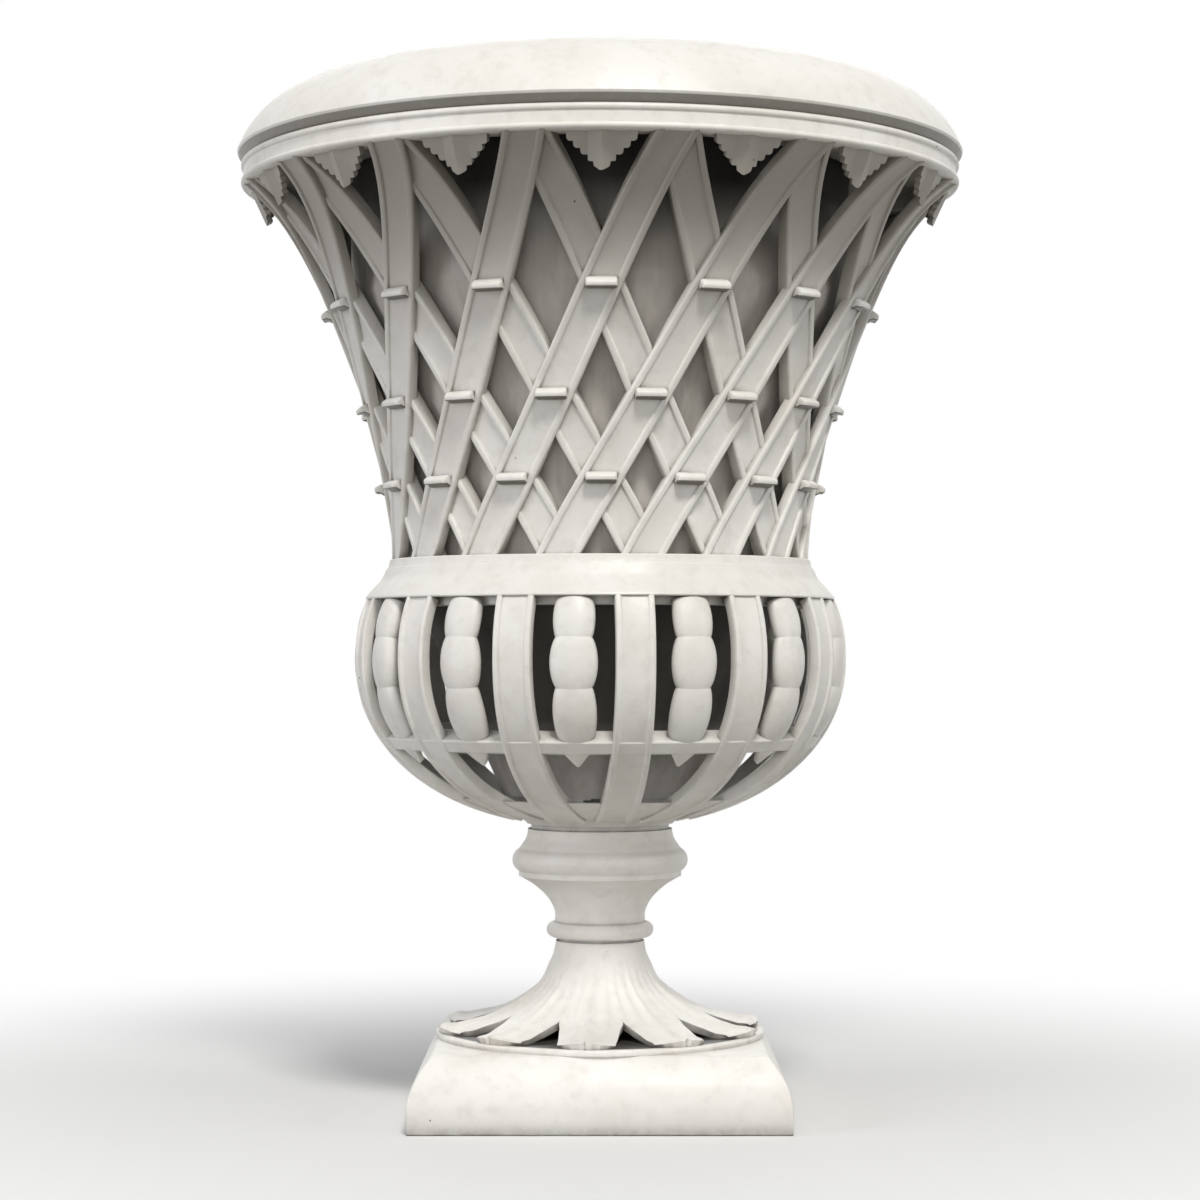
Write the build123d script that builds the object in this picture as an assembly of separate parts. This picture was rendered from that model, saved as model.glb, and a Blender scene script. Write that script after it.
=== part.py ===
from build123d import *
from math import asin, atan, cos, degrees, radians, sin, sqrt
import os

os.makedirs("parts", exist_ok=True)

# An openwork urn with a lift-out liner, in millimetres. +Z is up, the origin is at the centre of
# the base's underside, and the front faces -Y. Turns are counted from the front, towards +X.

# Heights of the castings that are stacked on one another
plinth_side_height = 14.0
plinth_ovolo_height = 26.0
foot_disc_height = 3.0
leaf_foot_height = 49.0
stem_height = 65.0
bowl_height = 124.0
belt_height = 22.0
lattice_height = 205.5
lip_height = 13.0
crown_height = 40.5

# Plinth: a square hollow casting with a round disc on top
plinth_side = 202.0
plinth_ovolo_set_back = 25.0
plinth_top_side = plinth_side - plinth_ovolo_set_back
plinth_ovolo_bulge = 2.6
plinth_wall = 8.0
plinth_plate = 10.0
foot_disc_overhang = 2.5
foot_disc_radius = plinth_top_side / 2 + foot_disc_overhang
foot_disc_round = 1.2

# Leaf foot: a hollow trumpet of broad leaves with open gaps between them
leaf_count = 10
leaf_width = 34.0
leaf_turn = -4.0
leaf_tip_set_back = 1.0
leaf_tip_radius = foot_disc_radius - leaf_tip_set_back
leaf_web_radius = 55.0
leaf_wall = 5.0
leaf_foot_neck_radius = 24.5
leaf_foot_plate = 8.0
leaf_foot_radius_shares = (1.0, 0.62, 0.395, 0.31)
leaf_foot_height_shares = (0.06, 0.215, 0.49, 0.77)
leaf_foot_inward_shares = (0.35, 0.75, 0.95)

# Stem: a turned baluster with a small torus, a scotia, a knop and a neck
seam_radius = 24.8
torus_radius = 29.7
throat_radius = 25.3
flare_radius = 36.5
fillet_radius = 45.0
knop_radius = 48.8
neck_radius = 40.0
seam_share = 0.03
torus_middle_share = 0.095
torus_top_share = 0.16
throat_share = 0.26
flare_share = 0.475
fillet_low_share = 0.555
fillet_share = 0.59
knop_share = 0.685
knop_top_share = 0.785
neck_share = 0.92
knop_slope = 0.6

# Tie rod with a thin nut and a washer at each end
rod_radius = 5.0
rod_clearance = 0.5
thread_clearance = 0.1
nut_width = 16.0
nut_height = 6.0
washer_radius = 10.5
washer_thickness = 1.2
rod_overrun = 1.4

# Bowl: the outline that the cup, ribs, spindles and ring all follow
bowl_radius = 136.3
bowl_half_height = 95.0
bowl_widest_height = 92.0
bowl_power = 2.15
bowl_turn = 8.0
rib_count = 13
rib_width = 20.5
rib_thickness = 6.0
edge_lip_width = 2.0
edge_lip_height = 1.0
cup_height = 15.0
cup_wall = 6.0
cup_floor = 5.0
cup_recess = 2.2
rib_foot_rise = 2.5
rib_fit = 0.1
ring_low_height = 41.4
ring_face_height = 6.6
ring_ledge_height = 6.0
ring_face_depth = 0.8
ring_ledge_depth = 8.0
ring_inner_depth = 15.0
drop_width = 16.0
drop_height = 7.5
drop_thickness = 5.0
drop_point_width = 1.0

# Spindles: three beads, one on the other, between every two ribs
spindle_neck_width = 19.0
spindle_neck_thickness = 9.0
bead_widths = (23.0, 25.0, 21.5)
bead_thickness = 11.0
bead_height_shares = (0.0, 0.365, 0.725, 1.0)
bead_swell_shares = (0.0, 0.78, 1.0, 0.78, 0.0)
spindle_middle_depth = 5.5

# Belt: the shoulder that joins bowl and lattice
bowl_shoulder_set_back = 6.0
belt_breadth = 11.5
belt_step_width = 2.0
belt_wall = 12.8
belt_low_radius = bowl_radius - bowl_shoulder_set_back
belt_step_radius = belt_low_radius - belt_breadth
belt_top_radius = belt_step_radius - belt_step_width
belt_inner_radius = belt_top_radius - belt_wall
belt_step_share = 0.77
belt_bend_shares = (0.36, 0.52)
lintel_set_back = 7.5
lintel_radius = belt_low_radius - lintel_set_back
lintel_height = 4.5

# Lattice: two families of strips that cross on a bell, with small collars at the crossings
strip_count = 16
lattice_turn = -10.9
crossing_shares = (0.0, 0.19, 0.397, 0.662, 1.0)
lattice_set_back = 1.3
lattice_low_radius = belt_top_radius - lattice_set_back
lattice_sweep = 67.0
lattice_flare = 15.0
sweep_power = 1.6
flare_power = 12.0
strip_width = 21.0
outer_strip_thickness = 6.0
inner_strip_set_back = 2.0
inner_strip_thickness = 7.5
strip_lip_width = 2.2
strip_lip_height = 1.1
strip_lip_round = 0.8
strip_fit = 0.15
strip_sections = 14
strip_overrun_share = 0.06
collar_width = 16.5
collar_height = 6.0
collar_projection = 5.0
collar_round = 1.4

# Rim: a lip ring with two beads, a rolled crown and hanging leaves
lip_margin = 0.3
lip_bead_projection = 1.4
lip_face_radius = lattice_low_radius + lattice_sweep + lattice_flare + lip_margin
lip_radius = lip_face_radius + lip_bead_projection
lip_bead_height = 3.6
lip_band_width = 15.0
lip_web_thickness = 5.0
crown_overhang = 2.3
crown_breadth = 55.0
crown_top_set_back = 4.5
crown_radius = lip_radius + crown_overhang
mouth_radius = crown_radius - crown_breadth
crown_top_radius = mouth_radius + crown_top_set_back
crown_soffit_height = 5.0
crown_foot_set_back = 0.6
ledge_width = 5.5
crown_wall = 6.0
crown_foot_width = 7.5
rim_leaf_width = 37.0
rim_leaf_drop = 18.0
rim_leaf_thickness = 4.0
rim_leaf_inset = 6.0
rim_leaf_tilt = 25.0
rim_leaf_teeth = 4
rim_leaf_notch_share = 0.45
rim_screw_count = 8
rim_screw_radius = 2.0
rim_screw_head_radius = 3.8
rim_screw_head_height = 2.4
rim_screw_bite = 10.0
rim_screw_clearance = 0.3

# Liner: a spun sheet-metal bucket that hangs in the mouth, close behind the lattice
liner_lift_room = 2.4
liner_floor_radius = 54.0
liner_mouth_room = 8.0
liner_top_radius = mouth_radius - liner_mouth_room
liner_sheet = 1.5
liner_lattice_depth = 14.0
liner_swell_shares = (0.0, 0.2, 0.4, 0.6)
liner_shoulder_share = 0.7
liner_drain_radius = 6.0
liner_flange_room = 1.5
liner_flange_radius = mouth_radius - liner_flange_room
liner_flange_thickness = 2.5
seat_clearance = 0.3
sheet_fit = 0.1

# Small length for reading the slope of an outline
probe = 0.05

# Heights of the seats, from the ground up
ovolo_seat = plinth_side_height
disc_seat = ovolo_seat + plinth_ovolo_height
foot_seat = disc_seat + foot_disc_height
stem_seat = foot_seat + leaf_foot_height
cup_seat = stem_seat + stem_height
bowl_middle = cup_seat + bowl_widest_height
belt_seat = cup_seat + bowl_height
lattice_seat = belt_seat + belt_height
lip_seat = lattice_seat + lattice_height
crown_seat = lip_seat + lip_height
urn_top = crown_seat + crown_height
reach = crown_radius + crown_height

# Stack on the tie rod, under the plinth's plate and over the cup's floor
lower_washer_top = foot_seat - plinth_plate
lower_nut_top = lower_washer_top - washer_thickness
rod_bottom = lower_nut_top - nut_height - rod_overrun
upper_washer_low = cup_seat + cup_floor
upper_nut_low = upper_washer_low + washer_thickness
rod_top = upper_nut_low + nut_height + rod_overrun
liner_floor_seat = rod_top + liner_lift_room
flange_seat = crown_seat + seat_clearance


def save(name, *solids):
    """Write the solids of one piece, or of one set of like pieces, to its own file."""
    piece = Compound(label=name, children=list(solids)) if len(solids) > 1 else solids[0]
    piece.label = name
    export_step(piece, f"parts/{name}.step")
    print(name, len(solids))


def turned(*edges, arc=360):
    """Turn a closed outline, drawn as radius and height, about the urn's axis."""
    return revolve(Plane.XZ * make_face(list(edges)), Axis.Z, arc)


def outline(*points):
    """Straight edges through the points and back to the first."""
    return Polyline(*points, close=True)


def disc(radius, low, high, bore=0):
    """A flat disc between two heights, with a bore where one is given."""
    solid = Pos(0, 0, low) * Cylinder(radius, high - low, align=(Align.CENTER, Align.CENTER, Align.MIN))
    if bore > 0:
        solid -= Pos(0, 0, low) * Cylinder(bore, high - low, align=(Align.CENTER, Align.CENTER, Align.MIN))
    return solid


def front_slab(width, low, high):
    """A slab of one width that runs from the axis out to the front."""
    return Pos(0, 0, low) * Box(width, reach, high - low, align=(Align.CENTER, Align.MAX, Align.MIN))


def ring_of(solid, count, turn=0):
    """Copies of a piece made at the front, spread evenly round the axis."""
    return [(Rot(0, 0, turn + 360 * k / count) * solid).solid() for k in range(count)]


def bowl_line(height):
    """Radius of the bowl's outline: a flattened oval."""
    rise = abs(height - bowl_middle) / bowl_half_height
    return bowl_radius * (1 - rise**bowl_power) ** (1 / bowl_power)


def bell_line(height):
    """Radius of the lattice's outline: a slow sweep and a quick flare under the rim."""
    rise = max(height - lattice_seat, 0) / lattice_height
    return lattice_low_radius + lattice_sweep * rise**sweep_power + lattice_flare * rise**flare_power


def slope_of(line, height):
    """How fast an outline's radius grows with height."""
    return (line(height + probe) - line(height - probe)) / (2 * probe)


def sunk(line, height, depth):
    """The radius and height of a point that lies this deep behind an outline."""
    slope = slope_of(line, height)
    run = sqrt(1 + slope**2)
    return (line(height) - depth / run, height + depth * slope / run)


def front_layer(line, low, high, outer_depth, inner_depth, arc):
    """A curved sheet between two depths behind an outline, centred on the front."""
    steps = 8
    heights = [low + (high - low) * k / steps for k in range(steps + 1)]
    outside = [sunk(line, height, outer_depth) for height in heights]
    inside = [sunk(line, height, inner_depth) for height in heights]
    sheet = turned(
        Spline(*outside),
        Line(outside[-1], inside[-1]),
        Spline(*reversed(inside)),
        Line(inside[0], outside[0]),
        arc=arc,
    )
    return Rot(0, 0, -90 - arc / 2) * sheet


def nut(low):
    """A hexagon nut on the tie rod."""
    blank = Pos(0, 0, low) * extrude(RegularPolygon(nut_width / 2, 6, major_radius=False), nut_height)
    return blank - disc(rod_radius + thread_clearance, low, low + nut_height)


rod_bore = rod_radius + rod_clearance


def make_plinth():
    """Square base: straight side, ovolo all round, round disc on top, hollow below."""
    half = plinth_side / 2
    top = plinth_top_side / 2
    middle = (half + top) / 2 + plinth_ovolo_bulge * cos(atan((half - top) / plinth_ovolo_height))
    profile = make_face(
        [
            Polyline((-top, disc_seat), (top, disc_seat)),
            ThreePointArc((top, disc_seat), (middle, (ovolo_seat + disc_seat) / 2), (half, ovolo_seat)),
            Polyline((half, ovolo_seat), (half, 0), (-half, 0), (-half, ovolo_seat)),
            ThreePointArc((-half, ovolo_seat), (-middle, (ovolo_seat + disc_seat) / 2), (-top, disc_seat)),
        ]
    )
    across = extrude(Plane.XZ * profile, half, both=True)
    along = extrude(Plane.YZ * profile, half, both=True)
    plate_height = foot_seat - plinth_plate
    low = half - plinth_wall
    high = top - plinth_wall / 2
    hollow = extrude(
        Rectangle(2 * low, 2 * low),
        plate_height,
        taper=degrees(atan((low - high) / plate_height)),
    )
    round_disc = disc(foot_disc_radius, disc_seat - foot_disc_height, foot_seat)
    round_disc = fillet(round_disc.edges().group_by(Axis.Z)[-1], foot_disc_round)
    return (across & along) - hollow + round_disc - disc(rod_bore, 0, foot_seat)


def make_leaf_foot():
    """Trumpet shell, cut to the outline of its leaves seen from above."""
    points = [
        (leaf_tip_radius * radius, foot_seat + leaf_foot_height * height)
        for radius, height in zip(leaf_foot_radius_shares, leaf_foot_height_shares)
    ]
    inner = [
        (radius - leaf_wall * inward, height - leaf_wall * sqrt(1 - inward**2))
        for (radius, height), inward in zip(points[1:], leaf_foot_inward_shares)
    ]
    tip = (leaf_tip_radius, foot_seat)
    tip_inside = (leaf_tip_radius - 2 * leaf_wall, foot_seat)
    neck = (leaf_foot_neck_radius, stem_seat)
    plate = stem_seat - leaf_foot_plate
    shell = turned(
        Spline(*points, neck),
        Line(neck, (rod_bore, stem_seat)),
        Line((rod_bore, stem_seat), (rod_bore, plate)),
        Line((rod_bore, plate), (leaf_foot_neck_radius - leaf_wall, plate)),
        Spline((leaf_foot_neck_radius - leaf_wall, plate), *reversed(inner), tip_inside),
        Line(tip_inside, tip),
        Line(tip, points[0]),
    )
    plan = Circle(leaf_web_radius)
    for k in range(leaf_count):
        end = leaf_tip_radius - leaf_width / 2
        strap = Pos(0, -end / 2) * Rectangle(leaf_width, end) + Pos(0, -end) * Circle(leaf_width / 2)
        plan += Rot(0, 0, leaf_turn + 360 * k / leaf_count) * strap
    return shell & (Pos(0, 0, foot_seat) * extrude(plan, leaf_foot_height))


def make_stem():
    """Baluster between foot and bowl, bored for the tie rod."""

    def at(share):
        return stem_seat + stem_height * share

    return turned(
        Line((rod_bore, stem_seat), (seam_radius, stem_seat)),
        Line((seam_radius, stem_seat), (seam_radius, at(seam_share))),
        ThreePointArc(
            (seam_radius, at(seam_share)),
            (torus_radius, at(torus_middle_share)),
            (seam_radius, at(torus_top_share)),
        ),
        Spline(
            (seam_radius, at(torus_top_share)),
            (throat_radius, at(throat_share)),
            (flare_radius, at(flare_share)),
            (fillet_radius, at(fillet_low_share)),
        ),
        Line((fillet_radius, at(fillet_low_share)), (fillet_radius, at(fillet_share))),
        ThreePointArc(
            (fillet_radius, at(fillet_share)),
            (knop_radius, at(knop_share)),
            (fillet_radius, at(knop_top_share)),
        ),
        Spline(
            (fillet_radius, at(knop_top_share)),
            (neck_radius, at(neck_share)),
            (neck_radius, cup_seat),
            tangents=((-1, knop_slope), (0, 1)),
        ),
        Line((neck_radius, cup_seat), (rod_bore, cup_seat)),
        Line((rod_bore, cup_seat), (rod_bore, stem_seat)),
    )


def make_cup():
    """Solid bottom of the bowl, a little behind the ribs' faces, with a floor for the tie rod."""
    wall = front_layer(
        bowl_line,
        cup_seat + probe,
        cup_seat + cup_height + cup_wall,
        cup_recess,
        cup_recess + cup_wall,
        360,
    )
    wall &= disc(bowl_radius, cup_seat, cup_seat + cup_height)
    floor = disc(neck_radius + cup_recess, cup_seat, cup_seat + cup_floor)
    floor += disc(bowl_line(cup_seat + probe) - cup_recess, cup_seat + probe, cup_seat + cup_floor)
    return wall + floor - disc(rod_bore, 0, urn_top)


rib_arc = 360 / rib_count
spindle_turn = bowl_turn + rib_arc / 2


def bowl_bar(width, outer_depth, inner_depth, low, high):
    """A bar of one width that follows the bowl's outline, at the front."""
    full_low = cup_seat + probe
    full_high = belt_seat + rib_thickness
    sheet = front_layer(bowl_line, full_low, full_high, outer_depth, inner_depth, rib_arc)
    return sheet & front_slab(width, low, high)


def make_rib(cup, belt):
    """Rib with a raised lip along both edges, thinned where it laps over cup and belt."""
    foot = cup_seat + rib_foot_rise
    face_width = rib_width - 2 * edge_lip_width
    bar = bowl_bar(rib_width, 0, rib_thickness, foot, belt_seat)
    face = bowl_bar(face_width, -edge_lip_height, edge_lip_height, foot, belt_seat)
    return bar - face - cup - belt


def make_bowl_ring():
    """Ring inside the ribs, notched for each of them, with a sloping ledge on top."""
    low = cup_seat + ring_low_height
    front = low + ring_face_height
    top = front + ring_ledge_height
    ring = turned(
        outline(
            sunk(bowl_line, low, ring_face_depth),
            sunk(bowl_line, front, ring_face_depth),
            (bowl_line(front) - ring_ledge_depth, top),
            (bowl_line(low) - ring_inner_depth, top),
            (bowl_line(low) - ring_inner_depth, low),
        )
    )
    notch = bowl_bar(
        rib_width + 2 * rib_fit,
        -edge_lip_height,
        rib_thickness + rib_fit,
        low - rib_thickness,
        top + rib_thickness,
    )
    for copy in ring_of(notch, rib_count, bowl_turn):
        ring -= copy
    return ring


def make_ring_drop():
    """Pointed drop under the ring, below a spindle."""
    low = cup_seat + ring_low_height
    half = drop_width / 2
    point = drop_point_width / 2
    plan = outline((-half, low), (half, low), (point, low - drop_height), (-point, low - drop_height))
    wedge = extrude(Plane.XZ * make_face(plan), reach)
    sheet = front_layer(
        bowl_line,
        low - 2 * drop_height,
        low + drop_height,
        ring_face_depth,
        ring_face_depth + drop_thickness,
        rib_arc,
    )
    return sheet & wedge


def make_spindle(ring, belt):
    """Three beads with narrow necks, bent to the bowl's outline."""
    low = cup_seat + ring_low_height + ring_face_height
    spindle = None
    for bead, width in enumerate(bead_widths):
        start, end = (low + (belt_seat - low) * share for share in bead_height_shares[bead : bead + 2])
        sections = []
        for k, swell in enumerate(bead_swell_shares):
            height = start + (end - start) * k / (len(bead_swell_shares) - 1)
            radius, level = sunk(bowl_line, height, spindle_middle_depth)
            slope = slope_of(bowl_line, height)
            place = Plane((0, -radius, level), x_dir=(1, 0, 0), z_dir=(0, -slope, 1))
            section = Ellipse(
                (spindle_neck_width + (width - spindle_neck_width) * swell) / 2,
                (spindle_neck_thickness + (bead_thickness - spindle_neck_thickness) * swell) / 2,
            )
            sections.append(place * section)
        solid = loft(sections)
        spindle = solid if spindle is None else spindle + solid
    spindle &= front_slab(2 * rib_width, low, belt_seat)
    return spindle - Rot(0, 0, -spindle_turn) * ring - belt


def make_belt():
    """Shoulder: a swelling flank with a fine step, and a lintel lip that hangs behind the ribs."""
    step = belt_seat + belt_height * belt_step_share
    bend_rise, bend_in = belt_bend_shares
    bend = (
        belt_low_radius - (belt_low_radius - belt_step_radius) * bend_in,
        belt_seat + belt_height * belt_step_share * bend_rise,
    )
    step_width = (belt_step_radius - belt_top_radius) / 2
    return turned(
        Line((belt_inner_radius, belt_seat - lintel_height), (lintel_radius, belt_seat - lintel_height)),
        Line((lintel_radius, belt_seat - lintel_height), (lintel_radius, belt_seat)),
        Line((lintel_radius, belt_seat), (belt_low_radius, belt_seat)),
        Spline((belt_low_radius, belt_seat), bend, (belt_step_radius, step)),
        Line((belt_step_radius, step), (belt_step_radius - step_width, step + step_width)),
        Line((belt_step_radius - step_width, step + step_width), (belt_top_radius, lattice_seat)),
        Line((belt_top_radius, lattice_seat), (belt_inner_radius, lattice_seat)),
        Line((belt_inner_radius, lattice_seat), (belt_inner_radius, belt_seat - lintel_height)),
    )


crossing_turn = 180 / strip_count


def crossing_height(place):
    """Height of a strip at a place counted in crossings, read from a smooth curve through them."""
    share = 0
    for k, known in enumerate(crossing_shares):
        weight = 1
        for other in range(len(crossing_shares)):
            if other != k:
                weight *= (place - other) / (k - other)
        share += known * weight
    return lattice_seat + lattice_height * share


def strip_point(place, hand):
    """A point on the middle line of a strip that climbs towards one hand from the front."""
    height = crossing_height(place)
    turn = radians(hand * crossing_turn * place)
    radius = bell_line(height)
    return Vector(radius * sin(turn), -radius * cos(turn), height)


def strip_plane(place, hand):
    """Plane square to a strip: its X runs across the strip and its Y points out of the bell."""
    step = strip_overrun_share / 2
    along = strip_point(place + step, hand) - strip_point(place - step, hand)
    turn = radians(hand * crossing_turn * place)
    slope = slope_of(bell_line, crossing_height(place))
    outward = Vector(sin(turn), -cos(turn), -slope)
    return Plane(strip_point(place, hand), x_dir=outward.cross(along), z_dir=along)


def swept_strip(points, hand):
    """Loft one section, drawn across and out, along a strip and trim it to belt and rim."""
    last = len(crossing_shares) - 1
    overrun = last * strip_overrun_share
    sections = []
    for k in range(strip_sections):
        place = -overrun + (last + 2 * overrun) * k / (strip_sections - 1)
        sections.append(strip_plane(place, hand) * make_face(outline(*points)))
    return loft(sections) & disc(reach, lattice_seat, lip_seat)


def strip_section(front, back):
    """Flat strip with a raised lip along both edges."""
    half = strip_width / 2
    inner = half - strip_lip_width
    return [
        (-half, back),
        (half, back),
        (half, front - strip_lip_round),
        (half - strip_lip_round, front),
        (inner + strip_lip_round, front),
        (inner, front - strip_lip_height),
        (-inner, front - strip_lip_height),
        (-inner - strip_lip_round, front),
        (-half + strip_lip_round, front),
        (-half, front - strip_lip_round),
    ]


def make_inner_strip():
    """Strip of the family behind, halved where the front family crosses it."""
    back = -inner_strip_set_back - inner_strip_thickness
    strip = swept_strip(strip_section(-inner_strip_set_back, back), -1)
    half = strip_width / 2 + strip_fit
    floor = -outer_strip_thickness - strip_fit
    cutter = swept_strip([(-half, floor), (half, floor), (half, -floor), (-half, -floor)], 1)
    for crossing in range(len(crossing_shares)):
        strip -= Rot(0, 0, -2 * crossing_turn * crossing) * cutter
    return strip


def make_collar(outer_strip, crossing):
    """Half-round bar laid level across a crossing, seated in the front strip's face."""
    turned_strip = Rot(0, 0, -crossing_turn * crossing) * outer_strip
    height = crossing_height(crossing)
    slope = slope_of(bell_line, height)
    place = Plane((0, -bell_line(height), height), x_dir=(0, slope, 1), z_dir=(1, 0, 0))
    half = collar_height / 2
    end = collar_width / 2
    back = -2 * strip_lip_height
    profile = make_face(
        [
            Polyline((half, 0), (half, back), (-half, back), (-half, 0)),
            ThreePointArc((-half, 0), (0, collar_projection), (half, 0)),
        ]
    )
    bar = extrude(place * profile, end, both=True)
    plan = outline(
        (-end, back),
        (end, back),
        (end, collar_projection - collar_round),
        (end - collar_round, collar_projection),
        (-end + collar_round, collar_projection),
        (-end, collar_projection - collar_round),
    )
    level = Plane(place.origin, x_dir=(1, 0, 0), z_dir=place.x_dir)
    flank = extrude(level * make_face(plan), collar_height, both=True)
    return (bar & flank) - turned_strip


screw_circle_radius = mouth_radius + crown_wall / 2
ledge_radius = mouth_radius - ledge_width
lip_web_seat = crown_seat - lip_web_thickness


def at_screws(radius, low, high):
    """Round bars or holes where the rim screws are."""
    bar = Pos(0, -screw_circle_radius, 0) * disc(radius, low, high)
    return ring_of(bar, rim_screw_count)


def make_lip():
    """Ring under the crown: a band between two beads, and a web inside that carries the liner."""
    bead = lip_bead_height
    band = lip_face_radius - lip_band_width
    face = lip_face_radius
    ring = turned(
        Line((band, lip_seat), (face, lip_seat)),
        ThreePointArc((face, lip_seat), (lip_radius, lip_seat + bead / 2), (face, lip_seat + bead)),
        Line((face, lip_seat + bead), (face, crown_seat - bead)),
        ThreePointArc((face, crown_seat - bead), (lip_radius, crown_seat - bead / 2), (face, crown_seat)),
        Polyline(
            (face, crown_seat),
            (ledge_radius, crown_seat),
            (ledge_radius, lip_web_seat),
            (band, lip_web_seat),
            (band, lip_seat),
        ),
    )
    for hole in at_screws(rim_screw_radius + rim_screw_clearance, lip_web_seat, crown_seat):
        ring -= hole
    return ring


def make_crown():
    """Rolled crown, hollow below, that stands on the lip ring on an outer and an inner foot."""
    edge_height = crown_seat + crown_soffit_height
    width = crown_radius - crown_top_radius
    height = urn_top - edge_height
    roll = (width**2 + height**2) / (2 * height)
    sweep = asin(width / roll)
    mouth_wall = mouth_radius + crown_wall
    hollow = roll - crown_wall
    inner_start = asin((mouth_wall - crown_top_radius) / hollow)

    def on_roll(radius, turn):
        return (crown_top_radius + radius * sin(turn), urn_top - roll + radius * cos(turn))

    lip = crown_top_radius - mouth_radius
    foot = lip_face_radius - crown_foot_set_back
    foot_inside = foot - crown_foot_width
    corner = lip * (1 - sin(radians(45)))
    crown = turned(
        ThreePointArc(on_roll(roll, sweep), on_roll(roll, sweep / 2), on_roll(roll, 0)),
        ThreePointArc(
            on_roll(roll, 0),
            (mouth_radius + corner, urn_top - corner),
            (mouth_radius, urn_top - lip),
        ),
        Polyline(
            (mouth_radius, urn_top - lip),
            (mouth_radius, crown_seat),
            (mouth_wall, crown_seat),
            on_roll(hollow, inner_start),
        ),
        ThreePointArc(
            on_roll(hollow, inner_start),
            on_roll(hollow, (inner_start + sweep) / 2),
            on_roll(hollow, sweep),
        ),
        Polyline(
            on_roll(hollow, sweep),
            (foot_inside, crown_seat),
            (foot, crown_seat),
            on_roll(roll, sweep),
        ),
    )
    bite = crown_seat + rim_screw_bite + rim_screw_clearance
    for hole in at_screws(rim_screw_radius + thread_clearance, crown_seat, bite):
        crown -= hole
    return crown


def make_rim_screws():
    """Cheese-head screws from below, through the lip ring's web into the crown's inner foot."""
    heads = at_screws(rim_screw_head_radius, lip_web_seat - rim_screw_head_height, lip_web_seat)
    shanks = at_screws(rim_screw_radius, lip_web_seat, crown_seat + rim_screw_bite)
    return [(head + shank).solid() for head, shank in zip(heads, shanks)]


def make_rim_leaf():
    """Saw-edged leaf that hangs under the lip ring, tipped in towards the lattice."""
    half = rim_leaf_width / 2
    edge = [(half, rim_leaf_drop / rim_leaf_teeth)]
    for tooth in range(rim_leaf_teeth):
        low = -rim_leaf_drop * (tooth + 1) / rim_leaf_teeth
        width = half * (1 - tooth / rim_leaf_teeth)
        notch = half / rim_leaf_teeth * rim_leaf_notch_share
        edge.append((width, low + rim_leaf_drop / rim_leaf_teeth * (1 - rim_leaf_notch_share)))
        edge.append((width - half / rim_leaf_teeth - notch / 2, low))
    right = edge[:-1]
    tip = (0, -rim_leaf_drop)
    left = [(-across, level) for across, level in reversed(right)]
    tilt = radians(rim_leaf_tilt)
    front = lip_face_radius - rim_leaf_inset
    place = Plane((0, -front, lip_seat), x_dir=(1, 0, 0), z_dir=(0, -cos(tilt), -sin(tilt)))
    plate = extrude(place * make_face(outline(*right, tip, *left)), -rim_leaf_thickness)
    return plate & disc(reach, lip_seat - 2 * rim_leaf_drop, lip_seat)


def make_liner_wall():
    """Spun wall: a cone in the bowl, a swell behind the lattice and a straight collar at the top."""
    swell = []
    for share in liner_swell_shares:
        height = lattice_seat + lattice_height * share
        swell.append((bell_line(height) - liner_lattice_depth, height))
    waist_radius = swell[0][0]
    swell.append((liner_top_radius, lattice_seat + lattice_height * liner_shoulder_share))
    inside = [(radius - liner_sheet, height) for radius, height in swell]
    return turned(
        Polyline((liner_floor_radius, liner_floor_seat), (waist_radius, belt_seat), swell[0]),
        Spline(*swell),
        Polyline(
            swell[-1],
            (liner_top_radius, flange_seat),
            (liner_top_radius - liner_sheet, flange_seat),
            inside[-1],
        ),
        Spline(*reversed(inside)),
        Polyline(
            inside[0],
            (waist_radius - liner_sheet, belt_seat),
            (liner_floor_radius - liner_sheet, liner_floor_seat),
            (liner_floor_radius, liner_floor_seat),
        ),
    )


def make_liner_flange():
    """Turned-out rim of the bucket, with a rounded outer edge."""
    half = liner_flange_thickness / 2
    top = flange_seat + liner_flange_thickness
    inside = liner_top_radius - liner_sheet
    straight = liner_flange_radius - half
    return turned(
        Polyline((straight, top), (inside, top), (inside, flange_seat), (straight, flange_seat)),
        ThreePointArc((straight, flange_seat), (liner_flange_radius, flange_seat + half), (straight, top)),
    )


plinth = make_plinth()
save("plinth", plinth.solid())
leaf_foot = make_leaf_foot()
save("leaf_foot", leaf_foot.solid())
stem = make_stem()
save("stem", stem.solid())
cup = make_cup()
save("bowl_cup", cup.solid())
belt = make_belt()
rib = make_rib(cup, belt)
save("bowl_ribs", *ring_of(rib, rib_count, bowl_turn))
ring = make_bowl_ring()
save("bowl_ring", ring.solid())
save("belt", belt.solid())
drop = make_ring_drop()
save("ring_drops", *ring_of(drop, rib_count, spindle_turn))
spindle = make_spindle(ring, belt)
save("bowl_spindles", *ring_of(spindle, rib_count, spindle_turn))
outer_strip = swept_strip(strip_section(0, -outer_strip_thickness), 1)
save("lattice_front_strips", *ring_of(outer_strip, strip_count, lattice_turn))
inner_strip = make_inner_strip()
save("lattice_back_strips", *ring_of(inner_strip, strip_count, lattice_turn))
for crossing, row in ((1, "lower"), (2, "middle"), (3, "upper")):
    collar = make_collar(outer_strip, crossing)
    save(f"collars_{row}", *ring_of(collar, strip_count, lattice_turn + crossing_turn * crossing))
save("rim_lip_ring", make_lip().solid())
save("rim_crown", make_crown().solid())
save("rim_screws", *make_rim_screws())
leaf_turns = lattice_turn + crossing_turn
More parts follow.
